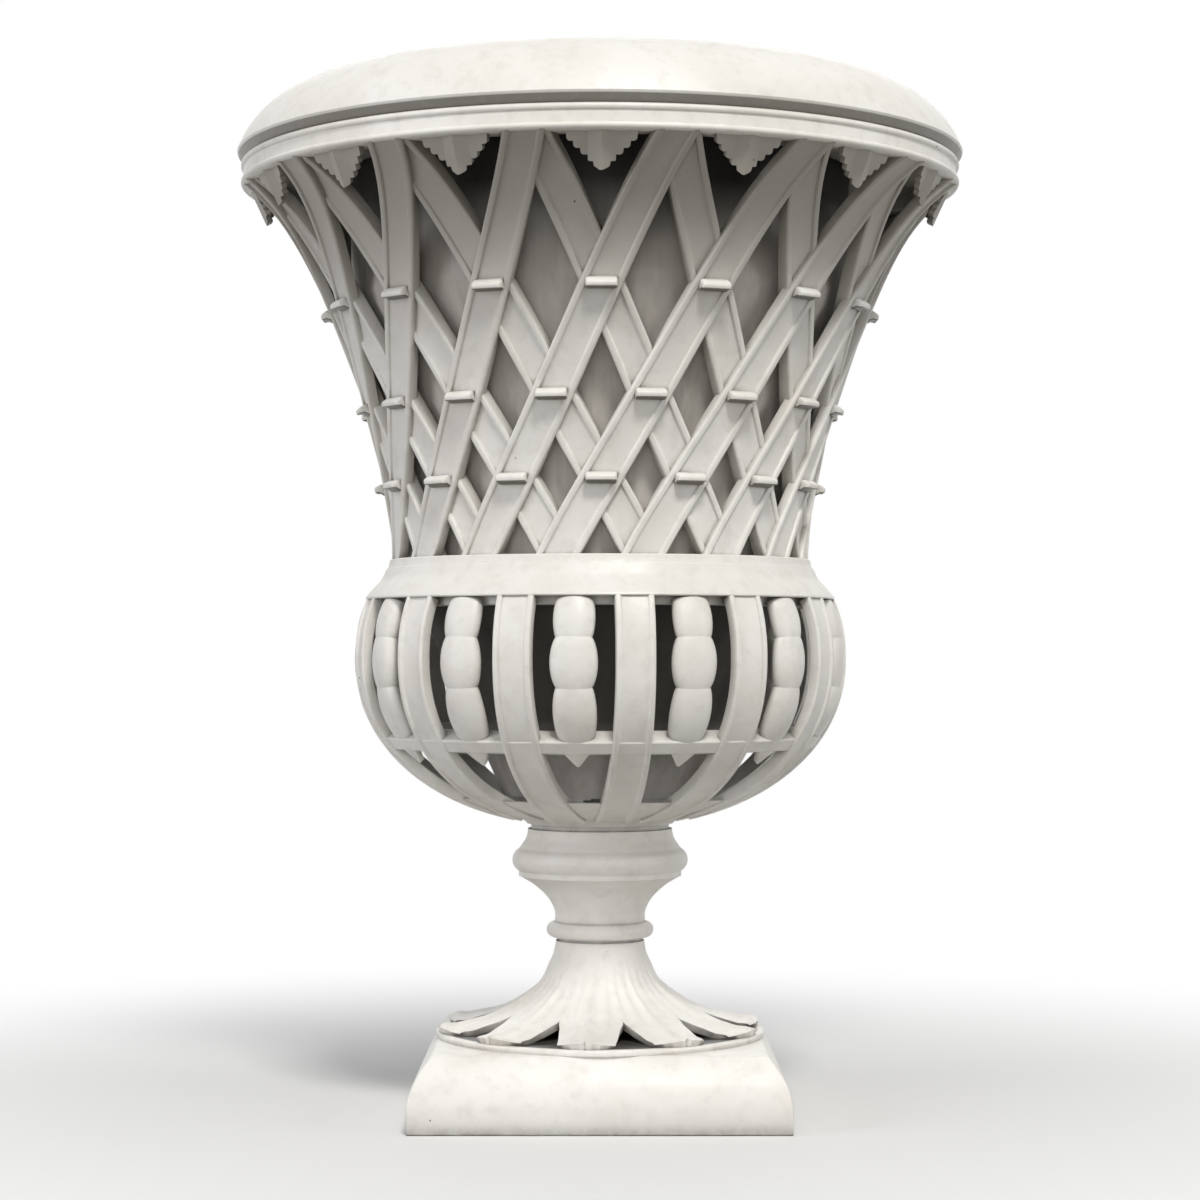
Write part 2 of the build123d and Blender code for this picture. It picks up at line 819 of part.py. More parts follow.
save("rim_leaves", *ring_of(make_rim_leaf(), strip_count, leaf_turns))
save("liner_wall", make_liner_wall().solid())
liner_floor = disc(
    liner_floor_radius - liner_sheet - sheet_fit,
    liner_floor_seat,
    liner_floor_seat + liner_sheet,
    liner_drain_radius,
)
save("liner_floor", liner_floor)
save("liner_flange", make_liner_flange().solid())
save("tie_rod", disc(rod_radius, rod_bottom, rod_top))
save("lower_washer", disc(washer_radius, lower_nut_top, lower_washer_top, rod_bore))
save("lower_nut", nut(lower_nut_top - nut_height).solid())
save("upper_washer", disc(washer_radius, upper_washer_low, upper_nut_low, rod_bore))
save("upper_nut", nut(upper_nut_low).solid())
print("urn height", urn_top, "liner lift to clear", urn_top - liner_floor_seat)
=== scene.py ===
# %% [markdown]
# # An openwork urn
# The CAD frame gives the real size and place of every piece. This lesson dresses that frame: each
# visible casting is modelled again with soft edges, gets its paint, and stands in plain studio
# light. Lengths are written in millimetres and multiplied by `mm`, because Blender works in metres.

# %% Load the frame
from math import acos, asin, atan2, cos, pi, radians, sin, sqrt, tan

import bmesh
import bpy
from mathutils import Matrix, Vector


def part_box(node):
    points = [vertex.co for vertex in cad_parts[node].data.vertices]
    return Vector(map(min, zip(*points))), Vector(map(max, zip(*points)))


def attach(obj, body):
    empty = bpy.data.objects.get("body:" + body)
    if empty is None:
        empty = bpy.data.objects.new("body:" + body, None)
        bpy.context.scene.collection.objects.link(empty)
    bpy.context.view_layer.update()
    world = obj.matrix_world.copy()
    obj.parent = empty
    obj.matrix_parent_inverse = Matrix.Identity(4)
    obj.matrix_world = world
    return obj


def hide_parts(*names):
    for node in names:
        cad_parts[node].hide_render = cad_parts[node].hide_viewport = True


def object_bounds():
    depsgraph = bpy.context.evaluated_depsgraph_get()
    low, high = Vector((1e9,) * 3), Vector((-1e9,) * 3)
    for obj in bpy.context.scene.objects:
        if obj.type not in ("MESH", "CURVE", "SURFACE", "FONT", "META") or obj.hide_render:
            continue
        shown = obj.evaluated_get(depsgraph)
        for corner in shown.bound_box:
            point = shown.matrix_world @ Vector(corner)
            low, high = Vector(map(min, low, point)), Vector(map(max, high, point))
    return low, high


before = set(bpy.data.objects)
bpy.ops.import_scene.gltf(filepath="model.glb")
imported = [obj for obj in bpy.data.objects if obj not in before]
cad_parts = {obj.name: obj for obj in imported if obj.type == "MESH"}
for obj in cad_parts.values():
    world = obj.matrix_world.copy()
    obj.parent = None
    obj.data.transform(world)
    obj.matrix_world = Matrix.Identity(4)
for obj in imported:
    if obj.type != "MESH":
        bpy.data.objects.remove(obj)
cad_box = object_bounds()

mm = 0.001
print("CAD box in mm:", [round(v / mm, 1) for v in (*cad_box[0], *cad_box[1])])

# %% [markdown]
# ## Camera
# The photograph was taken from about 1.6 m, level with the widest part of the bowl. That low eye is
# why the underside of the rim shows and the mouth doesn't. The camera stands at that real distance,
# so the rim bends as it does there, and a long lens fills the frame with the urn.

# %% Camera
eye = Vector((1.9, -1597.7, 251.0)) * mm
aim = Vector((0.0, 0.0, 0.5 * (cad_box[0].z + cad_box[1].z)))
lens_mm = 86.0
sensor_mm = 36.0
nearest_seen = 50.0

camera = bpy.data.objects.new("camera", bpy.data.cameras.new("camera"))
bpy.context.scene.collection.objects.link(camera)
camera.location = eye
camera.rotation_euler = (aim - eye).to_track_quat("-Z", "Y").to_euler()
camera.data.lens = lens_mm
camera.data.sensor_width = sensor_mm
camera.data.clip_start = nearest_seen * mm
bpy.context.scene.camera = camera
print("eye to axis:", round(eye.length / mm), "mm")

# %% [markdown]
# ## Nodes and colours
# A colour is written as the sRGB hex code that a screen shows, but a shader counts in linear light,
# so one function converts it. A second one adds a node with its settings and links.

# %% Hex colours to linear light
def linear(code):
    """An sRGB hex colour as the linear numbers that shaders take."""
    parts = [int(code[k : k + 2], 16) / 255 for k in (0, 2, 4)]
    return tuple(c / 12.92 if c <= 0.04045 else ((c + 0.055) / 1.055) ** 2.4 for c in parts) + (1.0,)


black, white = linear("000000"), linear("FFFFFF")
print("mid grey in linear light:", round(linear("808080")[0], 3))


# %% Add a node
def add(tree, kind, settings=None, stops=(), **inputs):
    """Add a node, set its properties and a ramp's stops, and set or link its inputs.

    An input is named as in the editor with underscores for spaces, or by its number, as i0.
    """
    node = tree.nodes.new("ShaderNode" + kind)
    for key, value in (settings or {}).items():
        setattr(node, key, value)
    for key, value in inputs.items():
        index = int(key[1:]) if key[0] == "i" and key[1:].isdigit() else key.replace("_", " ")
        if isinstance(value, bpy.types.NodeSocket):
            tree.links.new(value, node.inputs[index])
        else:
            node.inputs[index].default_value = value
    if stops:
        elements = node.color_ramp.elements
        while len(elements) < len(stops):
            elements.new(0.5)
        for element, (position, colour) in zip(elements, stops):
            element.position = position
            element.color = colour
    return node


def new_material(name):
    """An empty node material, its tree and its output."""
    material = bpy.data.materials.new(name)
    material.use_nodes = True
    material.node_tree.nodes.clear()
    return material, material.node_tree, material.node_tree.nodes.new("ShaderNodeOutputMaterial")


in_colour = {"data_type": "RGBA"}
smooth_step = {"interpolation_type": "SMOOTHSTEP"}
multiply = {"operation": "MULTIPLY"}
largest = {"operation": "MAXIMUM"}
length_of = {"operation": "LENGTH"}

# %% [markdown]
# ## Light
# White paint shows its form only in soft light with a clear direction. One lamp high in front casts
# the shadows, weaker ones at the sides and behind keep the far castings readable, and a narrow one
# near the floor lifts the stem. The world lights the urn dimly but looks white as a background.

# %% World
world_light = 0.26


def background_rays(tree):
    """1 for rays that show the background itself: from the camera, in gloss and through glass."""
    ray = add(tree, "LightPath").outputs
    seen = add(tree, "Math", largest, i0=ray["Is Camera Ray"], i1=ray["Is Glossy Ray"])
    return add(tree, "Math", largest, i0=seen.outputs[0], i1=ray["Is Transmission Ray"]).outputs[0]


world = bpy.data.worlds.new("studio")
bpy.context.scene.world = world
world.use_nodes = True
sky = world.node_tree
sky.nodes.clear()
sky_out = sky.nodes.new("ShaderNodeOutputWorld")
dim = add(sky, "Background", Color=linear("F6F7FA"), Strength=world_light).outputs[0]
plain = add(sky, "Background", Color=white, Strength=1.0).outputs[0]
sky_mix = add(sky, "MixShader", Fac=background_rays(sky), i1=dim, i2=plain)
sky.links.new(sky_mix.outputs[0], sky_out.inputs["Surface"])
print("world strength:", world_light)


# %% Lamps
def softbox(name, place, width, height, watts, colour, target=aim, spread=180.0):
    """A rectangular lamp that faces a point of the urn; a small spread keeps its light near there."""
    light = bpy.data.lights.new(name, "AREA")
    light.shape = "RECTANGLE"
    light.size = width
    light.size_y = height
    light.energy = watts
    light.color = linear(colour)[:3]
    light.spread = radians(spread)
    lamp = bpy.data.objects.new(name, light)
    bpy.context.scene.collection.objects.link(lamp)
    lamp.location = place
    lamp.rotation_euler = (target - Vector(place)).to_track_quat("-Z", "Y").to_euler()


stem_base = Vector((0.0, 0.0, 0.07))
softbox("key", (0.4, -1.9, 2.55), 0.6, 0.5, 50.0, "FFFDF9")
softbox("front", (-0.3, -2.2, 0.5), 1.0, 0.8, 5.0, "FFFFFF")
softbox("low_front", (0.1, -2.0, 0.1), 0.5, 0.2, 0.06, "FFFFFF", stem_base, 9.0)
softbox("right", (1.8, -0.7, 0.6), 0.7, 1.1, 7.0, "FFFFFF")
softbox("left", (-1.8, -0.9, 0.6), 0.9, 1.2, 12.0, "FAFAFF")
softbox("back", (0.0, 1.9, 1.2), 1.4, 0.9, 6.0, "FFFFFF")
print("lamps:", len(bpy.data.lights))

# %% [markdown]
# ## Floor
# A studio sweep has no visible horizon. The floor is a wide disc whose own paint shows only near
# the urn, where it keeps the real shadow, and fades to white further out. Rays that only carry
# light find a darker floor, so that it doesn't flood the underside of the rim.

# %% Floor
floor_radius = 8.0
fade_start, fade_end = 0.12, 0.75
floor_mesh = bmesh.new()
bmesh.ops.create_circle(floor_mesh, cap_ends=True, segments=128, radius=floor_radius)
floor_data = bpy.data.meshes.new("floor")
floor_mesh.to_mesh(floor_data)
floor_mesh.free()
floor = bpy.data.objects.new("floor", floor_data)
bpy.context.scene.collection.objects.link(floor)

floor_paint, tree, out = new_material("matt studio floor")
place = add(tree, "TexCoord").outputs["Object"]
distance = add(tree, "VectorMath", length_of, i0=place).outputs["Value"]
fade = add(tree, "MapRange", smooth_step, Value=distance, From_Min=fade_start, From_Max=fade_end)
seen = background_rays(tree)
share = add(tree, "Math", multiply, i0=fade.outputs["Result"], i1=seen).outputs[0]
tone = add(tree, "Mix", in_colour, Factor=seen, i6=linear("86847F"), i7=linear("F4F4F3"))
matt = add(tree, "BsdfDiffuse", Color=tone.outputs[2]).outputs[0]
glow = add(tree, "Emission", Color=white, Strength=1.0).outputs[0]
mixed = add(tree, "MixShader", Fac=share, i1=matt, i2=glow)
tree.links.new(mixed.outputs[0], out.inputs["Surface"])
floor_data.materials.append(floor_paint)
print("floor radius:", floor_radius, "m")

# %% [markdown]
# ## Off-white enamel
# The urn is cast metal under brushed enamel, a slightly glossy coat of resin with an IOR of about
# 1.5 and a middling roughness. What keeps it from looking like plastic is the casting below and the
# age above: a sandy bump from the mould, long brush marks, patches where the white has warmed and a
# few small chips. Painted shade darkens sheltered places and corners. Layers of noise keep the right
# scale on every piece.

# %% Fresh paint and its relief
patch_size = 45.0
smudge_size = 9.0
fleck_size = 6.5
sand_size = 1.6
swell_size = 14.0
brush_size = 1.3
brush_stretch = 0.07


def paint_tone(tree, place, colour, warm):
    """Paint with wide patches that have turned warmer."""
    patch = add(tree, "TexNoise", Vector=place, Scale=1 / (patch_size * mm), Detail=3.0, Roughness=0.55)
    share = add(tree, "MapRange", Value=patch.outputs["Fac"], From_Min=0.38, From_Max=0.72)
    tone = add(tree, "Mix", in_colour, Factor=share.outputs[0], i6=linear(colour), i7=linear(warm))
    return tone.outputs[2]


def casting_relief(tree, place):
    """Sand-cast metal under a brush: soft swells, upright brush marks and fine sand."""
    swell = add(tree, "TexNoise", Vector=place, Scale=1 / (swell_size * mm), Detail=2.0)
    upright = add(tree, "Mapping", Vector=place, Scale=(1.0, 1.0, brush_stretch)).outputs[0]
    brush = add(tree, "TexNoise", Vector=upright, Scale=1 / (brush_size * mm), Detail=2.0)
    sand = add(tree, "TexNoise", Vector=place, Scale=1 / (sand_size * mm), Detail=3.0, Roughness=0.6)
    normal = add(tree, "Bump", Strength=0.35, Distance=0.9 * mm, Height=swell.outputs["Fac"])
    for pattern, strength in ((brush, 0.16), (sand, 0.3)):
        height = pattern.outputs["Fac"]
        before = normal.outputs[0]
        normal = add(tree, "Bump", Strength=strength, Distance=0.3 * mm, Height=height, Normal=before)
    return normal.outputs[0]


print("paint patterns from", brush_size, "to", patch_size, "mm")

# %% [markdown]
# Painted shade follows the shape. Ambient Occlusion is 1 where a surface is open and less where
# others are near: a long reach finds sheltered places and a short one finds corners, and both are
# darkened with painted shade.

# %% Painted shade and chips
shelter_reach = 70.0
corner_reach = 12.0
ao_samples = {"samples": 8}
worn_colour = "B9B3A8"
bare_metal = "4A443D"


def sheltered_shading(tree, tone, shelter_shade):
    """Painted shade where other castings are near."""
    open_share = add(tree, "AmbientOcclusion", ao_samples, Distance=shelter_reach * mm).outputs["AO"]
    shelter_share = add(tree, "MapRange", Value=open_share, From_Min=0.15, From_Max=0.62, To_Min=0.55, To_Max=0.0)
    return add(tree, "Mix", in_colour, Factor=shelter_share.outputs[0], i6=tone, i7=linear(shelter_shade)).outputs[2]


def corner_shading(tree, tone, smudge, corner_shade):
    """Painted shade in the corners, uneven as smudges are."""
    open_share = add(tree, "AmbientOcclusion", ao_samples, Distance=corner_reach * mm).outputs["AO"]
    deep = add(tree, "MapRange", Value=open_share, From_Min=0.2, From_Max=0.8, To_Min=0.95, To_Max=0.0)
    uneven = add(tree, "MapRange", Value=smudge, From_Min=0.3, From_Max=0.7, To_Min=0.45)
    clamped = {"operation": "MULTIPLY", "use_clamp": True}
    share = add(tree, "Math", clamped, i0=deep.outputs[0], i1=uneven.outputs[0]).outputs[0]
    return add(tree, "Mix", in_colour, Factor=share, i6=tone, i7=linear(corner_shade)).outputs[2]


def small_chips(tree, place, tone, chips):
    """Chips where a noise goes past a high level; a higher level leaves fewer."""
    fleck = add(tree, "TexNoise", Vector=place, Scale=1 / (fleck_size * mm), Detail=2.0, Roughness=0.5)
    sharp = [(chips, black), (chips + 0.006, white)]
    share = add(tree, "ValToRGB", stops=sharp, Fac=fleck.outputs["Fac"]).outputs["Color"]
    return add(tree, "Mix", in_colour, Factor=share, i6=tone, i7=linear(bare_metal)).outputs[2]


print("dust within", shelter_reach, "mm, grime within", corner_reach, "mm")


# %% Enamel paint
def enamel_paint(name, colour, warm, shelter_shade, corner_shade, chips, shade_share=None, shade_colour=None):
    """Brushed enamel over cast metal, with painted shade in sheltered places and corners; the optional mask
    adds a further painted shade in its own colour at each place.
    """
    material, tree, out = new_material(name)
    place = add(tree, "TexCoord").outputs["Object"]
    noise = add(tree, "TexNoise", Vector=place, Scale=1 / (smudge_size * mm), Detail=5.0, Roughness=0.65)
    smudge = noise.outputs["Fac"]
    tone = sheltered_shading(tree, paint_tone(tree, place, colour, warm), shelter_shade)
    if shade_share:
        share = shade_share(tree, place)
        tone = add(tree, "Mix", in_colour, Factor=share, i6=tone, i7=linear(shade_colour)).outputs[2]
    worn = add(tree, "MapRange", Value=smudge, From_Min=0.5, From_Max=0.75, To_Max=0.24).outputs[0]
    tone = add(tree, "Mix", in_colour, Factor=worn, i6=tone, i7=linear(worn_colour)).outputs[2]
    tone = small_chips(tree, place, corner_shading(tree, tone, smudge, corner_shade), chips)
    gloss = add(tree, "MapRange", Value=smudge, From_Min=0.3, From_Max=0.7, To_Min=0.34, To_Max=0.52)
    relief = casting_relief(tree, place)
    shader = add(tree, "BsdfPrincipled", Base_Color=tone, Roughness=gloss.outputs[0], IOR=1.5, Normal=relief)
    tree.links.new(shader.outputs[0], out.inputs["Surface"])
    return material


# The third and fourth colours are painted shade, for sheltered places and for corners.
tones = ("EFEDE8", "E5E1D9", "9F9A91", "5E574E", 0.80)
white_enamel = enamel_paint("off-white enamel paint", *tones)
print("paint:", white_enamel.name)

# %% [markdown]
# ## Painted shade on the enamel
# Four places get a further painted shade: the lattice under the rim, the hollow under the crown's
# edge, the undersides of the collars, and the plinth's top under the leaves. Each is a rule about
# height, radius or facing, so it stays in its place from every side.

# %% Painted shade masks
crown_low, crown_high = (corner.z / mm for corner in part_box("rim_crown"))
rim_shade_from, rim_shade_full = 395.0, 492.0
leaf_shade_radius = 88.5
leaf_shade_full = 85.5
plinth_disc_face = 42.0


def painted_shade_under_rim(tree, place):
    """Painted shade on the lattice that grows towards the rim."""
    height = add(tree, "SeparateXYZ", Vector=place).outputs["Z"]
    start, full = rim_shade_from * mm, rim_shade_full * mm
    shade_share = add(tree, "MapRange", smooth_step, Value=height, From_Min=start, From_Max=full, To_Max=0.8)
    return shade_share.outputs[0]


def painted_shade_under_crown(tree, place):
    """Painted shade in the hollow under the crown's edge."""
    height = add(tree, "SeparateXYZ", Vector=place).outputs["Z"]
    start, full = (crown_low + 4.8) * mm, (crown_low + 4.1) * mm
    shade_share = add(tree, "MapRange", smooth_step, Value=height, From_Min=start, From_Max=full, To_Max=0.85)
    return shade_share.outputs[0]


def painted_shade_facing_down(tree, place):
    """Painted shade on all that faces down, by the surface's own normal."""
    facing = add(tree, "SeparateXYZ", Vector=add(tree, "NewGeometry").outputs["Normal"]).outputs["Z"]
    shade_share = add(tree, "MapRange", smooth_step, Value=facing, From_Min=-0.35, From_Max=-0.65, To_Max=0.9)
    return shade_share.outputs[0]


def painted_shade_under_leaves(tree, place):
    """Near-black painted shade on the plinth's disc, inside the leaf tips."""
    parts = add(tree, "SeparateXYZ", Vector=place).outputs
    flat = add(tree, "CombineXYZ", X=parts["X"], Y=parts["Y"]).outputs[0]
    radius = add(tree, "VectorMath", length_of, i0=flat).outputs["Value"]
    start, full = leaf_shade_radius * mm, leaf_shade_full * mm
    inside = add(tree, "MapRange", smooth_step, Value=radius, From_Min=start, From_Max=full).outputs[0]
    low, high = (plinth_disc_face - 0.5) * mm, (plinth_disc_face + 0.5) * mm
    on_top = add(tree, "MapRange", smooth_step, Value=parts["Z"], From_Min=low, From_Max=high).outputs[0]
    return add(tree, "Math", multiply, i0=inside, i1=on_top).outputs[0]


lattice_enamel = enamel_paint("off-white enamel, dimmed_by_painted_shade under the rim", *tones, painted_shade_under_rim, "827B71")
crown_enamel = enamel_paint("off-white enamel, darkened_by_painted_shade under the crown", *tones, painted_shade_under_crown, "6A655C")
collar_enamel = enamel_paint("off-white enamel, grimy under the collars", *tones, painted_shade_facing_down, "5B564D")
plinth_enamel = enamel_paint("off-white enamel, sooty under the leaves", *tones, painted_shade_under_leaves, "17140F")
print("enamels:", sum("enamel" in material.name for material in bpy.data.materials))

# %% [markdown]
# ## Liner paint
# The liner is spun sheet metal under thin matt paint. Water has left upright streaks, drawn as
# noise stretched along the height. Its outside is darkened with painted shade by height: nearly
# black under the rim, light behind the lattice, and dark again in the bowl. The inside has no
# painted shade and is plain.

# %% Liner paint
streak_size = 5.0
streak_stretch = 0.05
cloud_size = 60.0
# These bands are painted shade: the liner's outside is darkened by height.
band_low, band_high = 170.0, 520.0
bands = [
    (0.08, "C9C9C9"),
    (0.13, "5C5A57"),
    (0.31, "504E4A"),
    (0.38, "FFFFFF"),
    (0.52, "FFFFFF"),
    (0.68, "E2E1E0"),
    (0.83, "D6D5D4"),
    (0.93, "2E2C2A"),
]


def faces_out(tree, place):
    """1 on the outside of a turned wall and 0 on its inside."""
    flat = add(tree, "VectorMath", multiply, i0=place, i1=(1.0, 1.0, 0.0)).outputs[0]
    normal = add(tree, "NewGeometry").outputs["Normal"]
    turned_out = add(tree, "VectorMath", {"operation": "DOT_PRODUCT"}, i0=flat, i1=normal).outputs["Value"]
    return add(tree, "MapRange", smooth_step, Value=turned_out, From_Min=-0.01, From_Max=0.01).outputs[0]


def liner_paint(name, colour, streak_colour):
    """Thin matt paint on sheet metal, with water streaks, and painted shade by height on the outside."""
    material, tree, out = new_material(name)
    place = add(tree, "TexCoord").outputs["Object"]
    upright = add(tree, "Mapping", Vector=place, Scale=(1.0, 1.0, streak_stretch)).outputs[0]
    streak = add(tree, "TexNoise", Vector=upright, Scale=1 / (streak_size * mm), Detail=4.0, Roughness=0.6)
    cloud = add(tree, "TexNoise", Vector=place, Scale=1 / (cloud_size * mm), Detail=3.0)
    both = add(tree, "Math", multiply, i0=streak.outputs["Fac"], i1=cloud.outputs["Fac"]).outputs[0]
    share = add(tree, "MapRange", Value=both, From_Min=0.15, From_Max=0.4).outputs[0]
    tone = add(tree, "Mix", in_colour, Factor=share, i6=linear(colour), i7=linear(streak_colour)).outputs[2]
    height = add(tree, "SeparateXYZ", Vector=place).outputs["Z"]
    level_share = add(tree, "MapRange", Value=height, From_Min=band_low * mm, From_Max=band_high * mm)
    stops = [(position, linear(code)) for position, code in bands]
    shade = add(tree, "ValToRGB", stops=stops, Fac=level_share.outputs[0]).outputs["Color"]
    darken = {"data_type": "RGBA", "blend_type": "MULTIPLY"}
    tone = add(tree, "Mix", darken, Factor=faces_out(tree, place), i6=tone, i7=shade).outputs[2]
    relief = add(tree, "Bump", Strength=0.2, Distance=0.3 * mm, Height=streak.outputs["Fac"]).outputs[0]
    shader = add(tree, "BsdfPrincipled", Base_Color=tone, Roughness=0.62, IOR=1.48, Normal=relief)
    tree.links.new(shader.outputs[0], out.inputs["Surface"])
    return material


grey_liner = liner_paint("matt grey liner paint", "E6E1DA", "CDC8C0")
# Here too the third and fourth colours are painted shade.
edge_tones = ("C9C4BC", "BDB7AE", "8F8A82", "5E574E", 0.80)
grey_edge = enamel_paint("matt grey liner paint, rolled edge", *edge_tones)
print("paints:", grey_liner.name, "and", grey_edge.name)

# %% [markdown]
# ## Zinc-plated steel
# Rod, nuts, washers and screws are bought hardware. Zinc plate is a metal, so it keeps the default
# IOR, and its crystals give it a cloudy tone and an uneven, fairly rough shine.

# %% Zinc plate
crystal_size = 4.0


def zinc_plate(name):
    """Dull zinc-plated steel."""
    material, tree, out = new_material(name)
    place = add(tree, "TexCoord").outputs["Object"]
    cloud = add(tree, "TexNoise", Vector=place, Scale=1 / (crystal_size * mm), Detail=4.0).outputs["Fac"]
    rough = add(tree, "MapRange", Value=cloud, To_Min=0.35, To_Max=0.6).outputs[0]
    stops = [(0.3, linear("8F9092")), (0.7, linear("B9BABB"))]
    tint = add(tree, "ValToRGB", stops=stops, Fac=cloud).outputs["Color"]
    shader = add(tree, "BsdfPrincipled", Base_Color=tint, Metallic=1.0, Roughness=rough)
    tree.links.new(shader.outputs[0], out.inputs["Surface"])
    return material


zinc = zinc_plate("zinc-plated steel")
print("metal:", zinc.name)

# %% [markdown]
# ## Finishing a casting
# Turned or swept, a piece is finished alike: its faces are pointed outwards, all but the real edges
# are shaded smooth, and it is painted and fixed to the body that carries it, and the CAD node it
# stands for is hidden.
# Its object stays at the origin, as a CAD node's does, so patterns and exports fall in place.

# %% Finish a piece
def bmesh_items(items, kind):
    """Only the vertices, edges or faces of a mixed result."""
    return [item for item in items if isinstance(item, kind)]


def everything(shape):
    """All vertices, edges and faces of a bmesh."""
    return list(shape.verts) + list(shape.edges) + list(shape.faces)


def finish_piece(name, shape, material, body, node, crease=35.0):
    """Make an object of a bmesh, shade it, paint it and fix it to the frame."""
    bmesh.ops.recalc_face_normals(shape, faces=shape.faces)
    for face in shape.faces:
        face.smooth = True
    for edge in shape.edges:
        edge.smooth = len(edge.link_faces) == 2 and edge.calc_face_angle(0) < radians(crease)
    triangles = sum(len(face.verts) - 2 for face in shape.faces)
    data = bpy.data.meshes.new(name)
    shape.to_mesh(data)
    shape.free()
    data.materials.append(material)
    piece = bpy.data.objects.new(name, data)
    bpy.context.scene.collection.objects.link(piece)
    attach(piece, body)
    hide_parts(node)
    print(name + ":", triangles, "triangles")


def level(node):
    """Lowest and highest height of a CAD node, in millimetres."""
    low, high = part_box(node)
    return low.z / mm, high.z / mm


def reach(node):
    """How far a CAD node reaches from the axis along +X, in millimetres."""
    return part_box(node)[1].x / mm


print("the belt spans", [round(height, 1) for height in level("belt")], "mm")

# %% [markdown]
# ## Turning
# A turned piece starts as an outline of corners, each with its own small radius, spun round the
# axis. Those radii catch the light, because real castings have no knife edges. The spin merges its
# last step with its first, so the ring closes.

# %% Outlines with rounded corners
def rounded(corners, steps=5):
    """Points of a closed outline whose corners, given as (x, z, radius), are rounded off."""
    points = []
    count = len(corners)
    for k, (x, z, fillet) in enumerate(corners):
        here = Vector((x, z))
        if fillet <= 0:
            points.append(here)
            continue
        before = (Vector(corners[k - 1][:2]) - here).normalized()
        after = (Vector(corners[(k + 1) % count][:2]) - here).normalized()
        half = acos(max(-1.0, min(1.0, before.dot(after)))) / 2
        centre = here + (before + after).normalized() * fillet / sin(half)
        start = here + before * fillet / tan(half) - centre
        end = here + after * fillet / tan(half) - centre
        sweep = atan2(start.x * end.y - start.y * end.x, start.dot(end))
        points += [centre + Matrix.Rotation(sweep * step / steps, 2) @ start for step in range(steps + 1)]
    return points


def turned(points, segments=192):
    """Spin a closed outline of (radius, height) round the urn's axis."""
    shape = bmesh.new()
    loop = [shape.verts.new((point[0] * mm, 0, point[1] * mm)) for point in points]
    for k, vert in enumerate(loop):
        shape.edges.new((vert, loop[(k + 1) % len(loop)]))
    bmesh.ops.spin(
        shape,
        geom=list(shape.verts) + list(shape.edges),
        cent=(0, 0, 0),
        axis=(0, 0, 1),
        angle=2 * pi,
        steps=segments,
        use_merge=True,
        use_duplicate=False,
    )
    return shape


print("points of a rounded triangle:", len(rounded([(0, 0, 1), (9, 0, 1), (9, 9, 1)])))

# %% [markdown]
# ## Sweeping
# A bar that follows a curve is swept: its section is extruded from station to station, and each
# station is a small frame whose X runs across the bar and whose Y points out of the urn. One bar is
# made at the front and the rest are turned copies of it, as castings from one mould are.

# %% Sweeping
def frame_at(origin, across, outward):
    """A station whose X runs across and whose Y points outward."""
    across = across.normalized()
    outward = outward.normalized()
    turn = Matrix((across, outward, across.cross(outward))).transposed().to_4x4()
    return Matrix.Translation(origin * mm) @ turn


def swept(section, stations):
    """Extrude a section from station to station; a station is a frame and its two scales."""
    shape = bmesh.new()
    first = ring = [shape.verts.new((0, 0, 0)) for _ in section]
    edges = [shape.edges.new((vert, ring[(k + 1) % len(ring)])) for k, vert in enumerate(ring)]
    for number, (station, across, out) in enumerate(stations):
        if number:
            grown = bmesh.ops.extrude_edge_only(shape, edges=edges)["geom"]
            followers = {}
            for vert in bmesh_items(grown, bmesh.types.BMVert):
                for edge in vert.link_edges:
                    if edge.other_vert(vert) in ring:
                        followers[edge.other_vert(vert)] = vert
            ring = [followers[vert] for vert in ring]
            around = set(ring)
            edges = [edge for edge in bmesh_items(grown, bmesh.types.BMEdge) if set(edge.verts) <= around]
        for vert, (x, y) in zip(ring, section):
            vert.co = station @ Vector((x * across * mm, y * out * mm, 0))
    shape.faces.new(first)
    shape.faces.new(list(reversed(ring)))
    return shape


def ring_copies(shape, count, turn):
    """Turn what has been made to its first place and copy it evenly round the axis."""
    bmesh.ops.rotate(shape, verts=shape.verts, cent=(0, 0, 0), matrix=Matrix.Rotation(turn, 3, "Z"))
    source = everything(shape)
    for k in range(1, count):
        copy = bmesh.ops.duplicate(shape, geom=source)["geom"]
        verts = bmesh_items(copy, bmesh.types.BMVert)
        step = Matrix.Rotation(2 * pi * k / count, 3, "Z")
        bmesh.ops.rotate(shape, verts=verts, cent=(0, 0, 0), matrix=step)


station = frame_at(Vector(), Vector((1, 0, 0)), Vector((0, -1, 0)))
print("a bar at the front runs along", station.to_3x3().col[2][:])

# %% [markdown]
# ## Plinth
# The base is a square casting with a straight side, a quarter-round all about, a hollow below and a
# thin round disc on top. One square face is extruded ring by ring up the outline, which keeps the
# mitred corners, and then the sharp edges are bevelled.

# %% Plinth body
base_low, base_high = level("plinth")
base_half = reach("plinth")
base_top_half = 88.5
base_side = 14.0
base_shoulder = 40.0
ovolo_bulge = 2.6
ovolo_steps = 8
base_wall = 8.0
hollow_roof = 10.0
hollow_draft = 0.88
base_edge = 0.9

